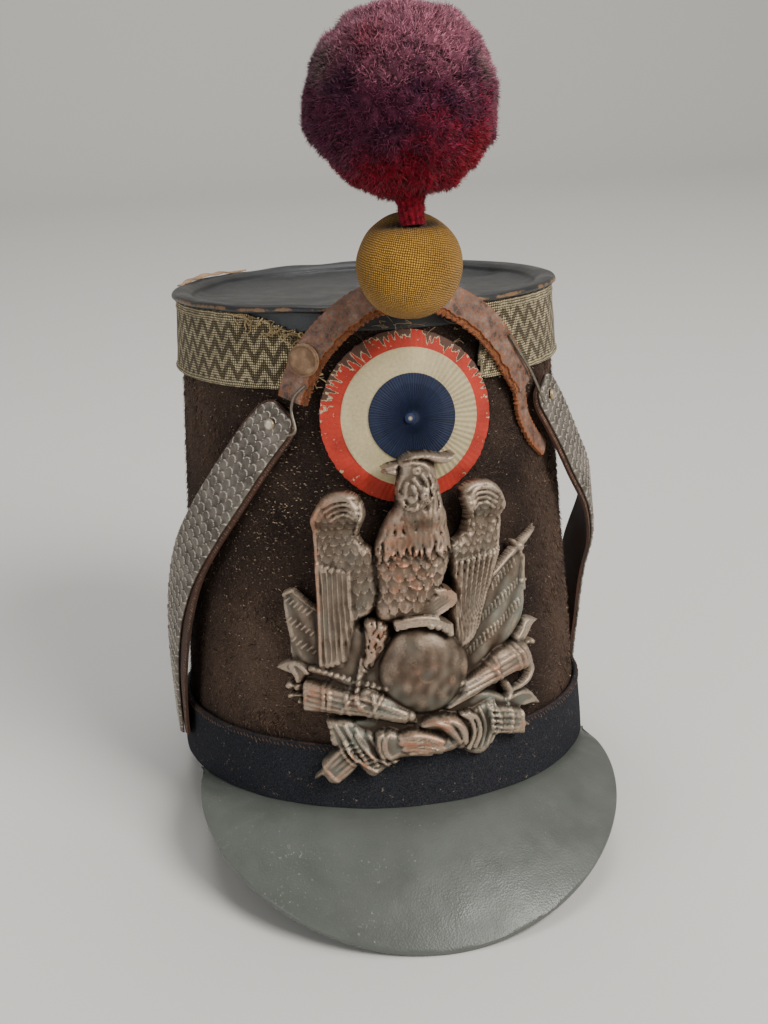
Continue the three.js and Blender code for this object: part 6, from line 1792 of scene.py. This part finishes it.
def build_plate(looks):
    """Plate: a grid over its height field, with an even back and a wall round its outline."""
    relief = Relief(0.48)
    carve_plate(relief)
    shake = ripple(np.stack([relief.u, relief.z], -1), 7, 161) * 0.08
    relief.height = np.maximum(relief.height + shake, 0.3)
    cells = kept_cells(relief)
    rows, columns = relief.u.shape
    corner = np.arange(rows * columns).reshape(rows, columns)
    quads = np.stack([corner[:-1, :-1], corner[:-1, 1:], corner[1:, 1:], corner[1:, :-1]], -1)
    walls = []
    framed = np.pad(cells, 1)
    for (di, dj), (m, n) in {(-1, 0): (1, 0), (0, 1): (2, 1), (1, 0): (3, 2), (0, -1): (0, 3)}.items():
        beside = framed[1 + di:rows + di, 1 + dj:columns + dj]
        walls.append(quads[cells & ~beside][:, [m, n]])
    walls = np.vstack(walls)
    grade = np.gradient(relief.inside, relief.pitch)
    steep = np.maximum(np.hypot(*grade), 0.3)
    border = np.zeros(rows * columns, bool)
    border[walls] = True
    border = border.reshape(rows, columns)
    move = np.where(border, np.clip(-relief.inside, -0.7, 0.7) * relief.pitch, 0) / relief.pitch / steep
    u, z = relief.u + move * grade[1] / steep, relief.z + move * grade[0] / steep
    lift = PLATE_LIFT * ease(z, 111, 118)
    angle = np.degrees(u / PLATE_ARC)
    front = side(angle, z, PLATE_OFF + PLATE_SHEET + lift + np.where(border, 0.1, relief.height))
    back = side(angle, z, PLATE_OFF + lift)
    kept = quads[cells]
    used = np.unique(kept)
    index = np.full(rows * columns, -1)
    index[used] = np.arange(len(used))
    count = len(used)
    front_faces, back_faces = index[kept], index[kept][:, ::-1] + count
    a, b = index[walls[:, 0]], index[walls[:, 1]]
    rim = np.stack([a, b, b + count, a + count], 1)
    points = np.vstack([front.reshape(-1, 3)[used], back.reshape(-1, 3)[used]])
    near, wide = blurred(relief.height, 3), blurred(relief.height, 9)
    ridge = np.clip((relief.height - near) * 2.4 + (relief.height - wide) * 0.35, 0, 1)
    hollow_and_shade = np.clip((near - relief.height) * 1.5 + (wide - relief.height) * 0.28, 0, 1)
    # The globe darkened below its top: a mottled patina, and painted shade under the globe's lit top
    globe_shade_and_mottle = ease(relief.mask["globe"], 0, 4) * ease(70 - relief.z, -2, 8)
    globe_shade_and_mottle = globe_shade_and_mottle * (0.4 + 0.22 * ripple(np.stack([relief.u, relief.z], -1), 6, 162))
    # hollow_and_shade: the hollows, the globe's shade and mottle, and a darkening towards the bottom
    hollow_and_shade = np.clip(hollow_and_shade + globe_shade_and_mottle + 0.2 * ease(46 - relief.z, 0, 14), 0, 1)
    copper, green = plate_tints(relief)
    values = {key: np.tile(part.ravel()[used], 2) for key, part in
              (("ridge", ridge), ("hollow_and_shade", hollow_and_shade), ("copper", copper), ("green", green))}
    # Copper sheet, stamped from the back and left to tarnish: grey-brown, coppery where it is rubbed
    # and greenish where damp has stood
    metal = aged_metal("Copper, stamped and patinated", looks.plate_patina, looks.plate_recess,
                       looks.plate_pale, 0.46, 0.7, rubbed_to=looks.plate_copper,
                       green=looks.plate_verdigris)
    add_piece("plate_relief", (points, [np.vstack([front_faces, back_faces, rim])]), metal, ["rooster_plate"],
              values=values, sharp=70)


def blurred(field, reach):
    """Field averaged over squares, twice."""
    for _ in range(2):
        for axis in (0, 1):
            padded = np.pad(field, [(reach + 1, reach) if k == axis else (0, 0) for k in (0, 1)], mode="edge")
            total = padded.cumsum(axis)
            span = 2 * reach + 1
            if axis == 0:
                field = (total[span:] - total[:-span]) / span
            else:
                field = (total[:, span:] - total[:, :-span]) / span
    return field


def plate_tints(relief):
    """Where the plate is rubbed to copper and where it is green, as shares."""
    def spots(*rows):
        """Sum of bell curves; rows hold strength, middle and spread."""
        total = 0
        for strength, u, z, across, up in rows:
            total = total + strength * np.exp(-(((relief.u - u) / across) ** 2 + ((relief.z - z) / up) ** 2))
        return total
    place = np.stack([relief.u, relief.z], -1)
    copper = spots((1, -33, 121, 5, 6), (0.8, -37, 95, 1.6, 34), (1, -4, 95, 9, 12), (0.7, -1, 110, 12, 8),
                   (1.1, -2, 28, 12, 3.6), (0.8, 7, 35, 7, 3), (0.9, -23, 22, 6, 4), (0.8, -38, 47, 6, 5),
                   (0.7, -24, 46, 4, 4), (0.6, 12, 85, 4, 5), (0.7, -15, 70, 5, 8), (0.7, 30, 52, 5, 4),
                   (0.6, 40, 53, 4, 6), (0.8, 2, 54, 11, 9), (0.6, 42, 27, 4, 3), (0.6, -33, 17, 4, 4))
    copper = copper * (0.6 + 0.3 * ripple(place, 5, 172))
    green = (spots((0.9, 48, 79, 4, 12), (0.8, 2, 56, 2.6, 2.6)) + 0.75 * (1 - ease(relief.z, 36, 62))
             + spots((0.5, 40, 70, 14, 12)) + 0.25 * ripple(place, 17, 171))
    return np.clip(copper, 0, 1), np.clip(green, 0, 1)


def build_stage(looks):
    """Pale floor and backdrop, a soft key light from the upper right, a fill, and the camera."""
    floor_width = 6.0
    floor = bpy.data.meshes.new("studio_floor")
    turn = np.radians(np.linspace(0, 90, 14))
    back = np.concatenate([[[-3.0, 0.0]], np.stack([1.6 + 0.5 * np.sin(turn), 0.5 - 0.5 * np.cos(turn)], 1),
                           [[2.1, 3.4]]])
    rows = [[(x, y, z) for x in (-floor_width / 2, floor_width / 2)] for y, z in back]
    points = np.array(rows).reshape(-1, 3)
    quads = net(len(back), 2, False, False)
    floor.from_pydata([tuple(p) for p in points], [], [tuple(int(i) for i in q) for q in quads])
    # Paper, sized and uncoated: one even tone without gloss
    floor.materials.append(studio_paper("Studio paper, matt", looks.paper))
    for face in floor.polygons:
        face.use_smooth = True
    sweep = bpy.data.objects.new("studio_sweep", floor)
    bpy.context.scene.collection.objects.link(sweep)
    for name, place, aim, size, power, tint in (
            ("key", (0.9, -1.1, 1.35), (0, -0.05, 0.2), 1.0, looks.key_power, (1.0, 0.97, 0.92)),
            ("fill", (-1.5, -0.9, 0.7), (0, 0, 0.2), 1.4, looks.key_power * 0.22, (0.92, 0.96, 1.0)),
            ("top", (0.1, 0.5, 1.7), (0, 0, 0.2), 1.2, looks.key_power * 0.35, (1.0, 1.0, 1.0))):
        data = bpy.data.lights.new(f"studio_{name}", "AREA")
        data.shape, data.size, data.energy, data.color = "DISK", size, power, tint
        light = bpy.data.objects.new(f"studio_{name}", data)
        light.location = place
        light.rotation_euler = (Vector(aim) - Vector(place)).to_track_quat("-Z", "Y").to_euler()
        bpy.context.scene.collection.objects.link(light)
    world = bpy.data.worlds.new("Studio air")
    world.use_nodes = True
    world.node_tree.nodes["Background"].inputs[0].default_value = (*looks.paper, 1)
    world.node_tree.nodes["Background"].inputs[1].default_value = 0.38
    bpy.context.scene.world = world
    data = bpy.data.cameras.new("studio_camera")
    data.sensor_width, data.lens = 36.0, CAMERA_LENS
    camera = bpy.data.objects.new("studio_camera", data)
    axes = [tipped(np.array(row)) for row in (CAMERA_RIGHT, CAMERA_UP)]
    axes.append(np.cross(*axes))
    turn = Matrix([[axes[k][i] for k in range(3)] for i in range(3)])
    camera.matrix_world = Matrix.Translation(Vector(in_row(np.array(CAMERA_PLACE)))) @ turn.to_4x4()
    bpy.context.scene.collection.objects.link(camera)
    bpy.context.scene.camera = camera


def swatch(name, code, text):
    """A colour of the looks."""
    return bpy.props.FloatVectorProperty(name=name, description=text, default=linear(code), subtype="COLOR",
                                         size=3, min=0.0, max=1.0)


class ShakoLooks(bpy.types.PropertyGroup):
    """Colours, counts and light of the shako."""

    felt_dark: swatch("Dark felt", "#1d1514", "Felt in its darkest places")
    felt_hair: swatch("Felt hair", "#6f5d53", "Lit hairs of the felt")
    # Brown of the felt's patches; along its right side this brown is partly painted light
    felt_brown: swatch("Brown felt", "#775d49", "Felt where it has faded to brown")
    # Also the colour of the felt's painted glints: its single pale hairs and, in part, its pale specks
    felt_dust_and_glint: swatch("Felt dust", "#b39d86", "Dust and lint in the nap")
    nap_count: bpy.props.IntProperty(name="Nap fibres", description="Number of fibres of the nap",
                                     default=33000, min=0)
    nap_length: bpy.props.FloatProperty(name="Nap length", description="Length of the nap's fibres",
                                        default=0.0034, unit="LENGTH")
    black_leather: swatch("Black leather", "#1a1b1d", "Blacked leather of the top")
    black_leather_lit: swatch("Greyed leather", "#2c2e30", "Blacked leather where it has greyed")
    tan_edge: swatch("Tan edge", "#7a5c3e", "Leather where its dressing has worn off")
    tan_light: swatch("Light tan", "#c2a484", "Lightest of the bare leather")
    tape_dark: swatch("Dark tape", "#4a3e2a", "Ground of the tape")
    tape_light: swatch("Light tape", "#d8c9a2", "Light threads of the tape")
    thread_cream: swatch("Cream thread", "#b79d70", "Loose threads")
    velvet: swatch("Velvet", "#2f3035", "Velvet of the band")
    velvet_sheen: swatch("Velvet sheen", "#4a4e5c", "Sheen of the velvet")
    velvet_edge: swatch("Worn velvet", "#664a38", "Worn upper edge of the band and its stitches")
    peak_dark: swatch("Dark peak", "#555954", "Leather of the peak")
    peak_light: swatch("Greyed peak", "#5b5f5a", "Leather of the peak where it has greyed")
    peak_worn: swatch("Worn peak", "#c9c3b4", "Leather of the peak where it has worn")
    hide_grain: swatch("Hide grain", "#3d2c27", "Grain side of the straps")
    hide_pale: swatch("Pale hide", "#947a6c", "Grain side of the straps where it is pale")
    hide_flesh: swatch("Hide flesh side", "#87502f", "Rough side of the straps")
    hide_flesh_dark: swatch("Dark flesh side", "#4a2a18", "Rough side of the straps in its dark places")
    russet_dark: swatch("Dark russet", "#35211a", "Backing of the chin scales in its dark places")
    russet: swatch("Russet", "#523223", "Backing of the chin scales")
    russet_light: swatch("Light russet", "#866a52", "Worn edge of the backing")
    pewter: swatch("White metal", "#857d74", "Metal of the chin scales")
    pewter_dull: swatch("Dull white metal", "#4c453d", "Metal of the chin scales in its hollows")
    pewter_bright: swatch("Bright white metal", "#dcd3c6", "Metal of the chin scales on its lips")
    brass: swatch("Brass", "#86684e", "Brass of the rivets")
    brass_dull: swatch("Dull brass", "#6a5140", "Brass of the rivets in its dull places")
    brass_bright: swatch("Bright brass", "#b39678", "Brass of the rivets where it is rubbed")
    wire: swatch("Wire", "#6f685d", "Wire of the hooks")
    wire_bright: swatch("Bright wire", "#c4baa8", "Wire of the hooks where it is rubbed")
    # Painted shade: the blue in the troughs of the cockade's pleats
    cockade_blue_shade: swatch("Deep blue", "#060a14", "Blue of the cockade in its pleats")
    cockade_blue: swatch("Blue", "#14264c", "Blue of the cockade")
    cockade_white: swatch("Cream", "#c4b48c", "Cream ring of the cockade")
    cockade_red: swatch("Red", "#b4301f", "Red ring of the cockade")
    chip_edge: swatch("Chipped paint", "#53372a", "Brown under the cockade's red")
    chip_ground: swatch("Bare ground", "#c3b492", "Pale ground under the cockade's red")
    mustard_dark: swatch("Dark mustard", "#664616", "Cloth of the ball between its threads")
    mustard: swatch("Mustard", "#d6a246", "Cloth of the ball")
    wool_rose: swatch("Rose wool", "#8a5362", "Wool on top of the pompom")
    wool_plum: swatch("Plum wool", "#5e2a40", "Wool round the middle of the pompom")
    wool_crimson: swatch("Crimson wool", "#7d0e22", "Wool below, and the neck")
    wool_bare: swatch("Worn wool", "#555048", "Grey-green worn places of the pompom")
    pompom_fibres: bpy.props.IntProperty(name="Wool fibres", description="Number of fibres of the pompom",
                                         default=38000, min=0)
    plate_patina: swatch("Patina", "#7e7062", "Plate's patina")
    plate_recess: swatch("Plate's hollows", "#5c4c3e", "Plate in its hollows")
    plate_pale: swatch("Pale patina", "#b3a08d", "Plate on its ridges")
    plate_copper: swatch("Copper", "#b8724e", "Plate where it is rubbed")
    plate_verdigris: swatch("Verdigris", "#7b8379", "Plate where it is green")
    paper: swatch("Studio paper", "#dcdad6", "Floor and backdrop")
    key_power: bpy.props.FloatProperty(name="Key light", description="Power of the key light", default=38.0,
                                       unit="POWER")


def build_piece(context, build):
    """Runs one build with the scene's looks, and reports that it is done."""
    before = len(bpy.data.objects)
    build(context.scene.shako_looks)
    if len(bpy.data.objects) == before:
        raise RuntimeError(f"{build.__name__} made nothing")
    return {"FINISHED"}


class SHAKO_OT_felt(bpy.types.Operator):
    """Build the felt body and its nap"""

    bl_idname = "shako.felt"
    bl_label = "Felt body"

    def execute(self, context):
        return build_piece(context, build_felt)


class SHAKO_OT_top(bpy.types.Operator):
    """Build the leather top with its rim and skirt"""

    bl_idname = "shako.top"
    bl_label = "Leather top"

    def execute(self, context):
        return build_piece(context, build_top)


class SHAKO_OT_tape(bpy.types.Operator):
    """Build the woven tape and its loose threads"""

    bl_idname = "shako.tape"
    bl_label = "Woven tape"

    def execute(self, context):
        return build_piece(context, build_tape)


class SHAKO_OT_band(bpy.types.Operator):
    """Build the velvet band and its stitches"""

    bl_idname = "shako.band"
    bl_label = "Velvet band"

    def execute(self, context):
        return build_piece(context, build_band)


class SHAKO_OT_peak(bpy.types.Operator):
    """Build the leather peak"""

    bl_idname = "shako.peak"
    bl_label = "Peak"

    def execute(self, context):
        return build_piece(context, build_peak)


class SHAKO_OT_straps(bpy.types.Operator):
    """Build the two hide straps and the free tail"""

    bl_idname = "shako.straps"
    bl_label = "Straps"

    def execute(self, context):
        return build_piece(context, build_straps)


class SHAKO_OT_chin(bpy.types.Operator):
    """Build the chin scales and their backings"""

    bl_idname = "shako.chin"
    bl_label = "Chin scales"

    def execute(self, context):
        return build_piece(context, build_chin)


class SHAKO_OT_fittings(bpy.types.Operator):
    """Build the rivets and the hooks"""

    bl_idname = "shako.fittings"
    bl_label = "Rivets and hooks"

    def execute(self, context):
        return build_piece(context, build_fittings)


class SHAKO_OT_cockade(bpy.types.Operator):
    """Build the pleated cockade and its stud"""

    bl_idname = "shako.cockade"
    bl_label = "Cockade"

    def execute(self, context):
        return build_piece(context, build_cockade)


class SHAKO_OT_plate(bpy.types.Operator):
    """Build the stamped plate"""

    bl_idname = "shako.plate"
    bl_label = "Plate"

    def execute(self, context):
        return build_piece(context, build_plate)


class SHAKO_OT_ball(bpy.types.Operator):
    """Build the cloth ball and the wool neck"""

    bl_idname = "shako.ball"
    bl_label = "Ball and neck"

    def execute(self, context):
        return build_piece(context, build_ball)


class SHAKO_OT_pompom(bpy.types.Operator):
    """Build the wool pompom"""

    bl_idname = "shako.pompom"
    bl_label = "Pompom"

    def execute(self, context):
        return build_piece(context, build_pompom)


class SHAKO_OT_stage(bpy.types.Operator):
    """Set up the floor, the backdrop, the lights and the camera"""

    bl_idname = "shako.stage"
    bl_label = "Stage"

    def execute(self, context):
        return build_piece(context, build_stage)


OPERATORS = (SHAKO_OT_felt, SHAKO_OT_top, SHAKO_OT_tape, SHAKO_OT_band, SHAKO_OT_peak, SHAKO_OT_straps,
             SHAKO_OT_chin, SHAKO_OT_fittings, SHAKO_OT_cockade, SHAKO_OT_plate, SHAKO_OT_ball,
             SHAKO_OT_pompom, SHAKO_OT_stage)


class SHAKO_PT_panel(bpy.types.Panel):
    """Looks of the shako and a button for each of its pieces"""

    bl_label = "Shako"
    bl_idname = "SHAKO_PT_panel"
    bl_space_type = "VIEW_3D"
    bl_region_type = "UI"
    bl_category = "Shako"

    def draw(self, context):
        for key in ShakoLooks.__annotations__:
            self.layout.prop(context.scene.shako_looks, key)
        for operator in OPERATORS:
            self.layout.operator(operator.bl_idname)


CLASSES = (ShakoLooks, *OPERATORS, SHAKO_PT_panel)


def register():
    """Register the classes and the scene's looks."""
    for some in CLASSES:
        bpy.utils.register_class(some)
    bpy.types.Scene.shako_looks = bpy.props.PointerProperty(type=ShakoLooks)


def unregister():
    """Take back what register() added."""
    del bpy.types.Scene.shako_looks
    for some in reversed(CLASSES):
        bpy.utils.unregister_class(some)


def main():
    """Register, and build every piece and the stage."""
    register()
    for operator in OPERATORS:
        getattr(bpy.ops.shako, operator.bl_idname.split(".")[1])()


if __name__ == "__main__":
    main()
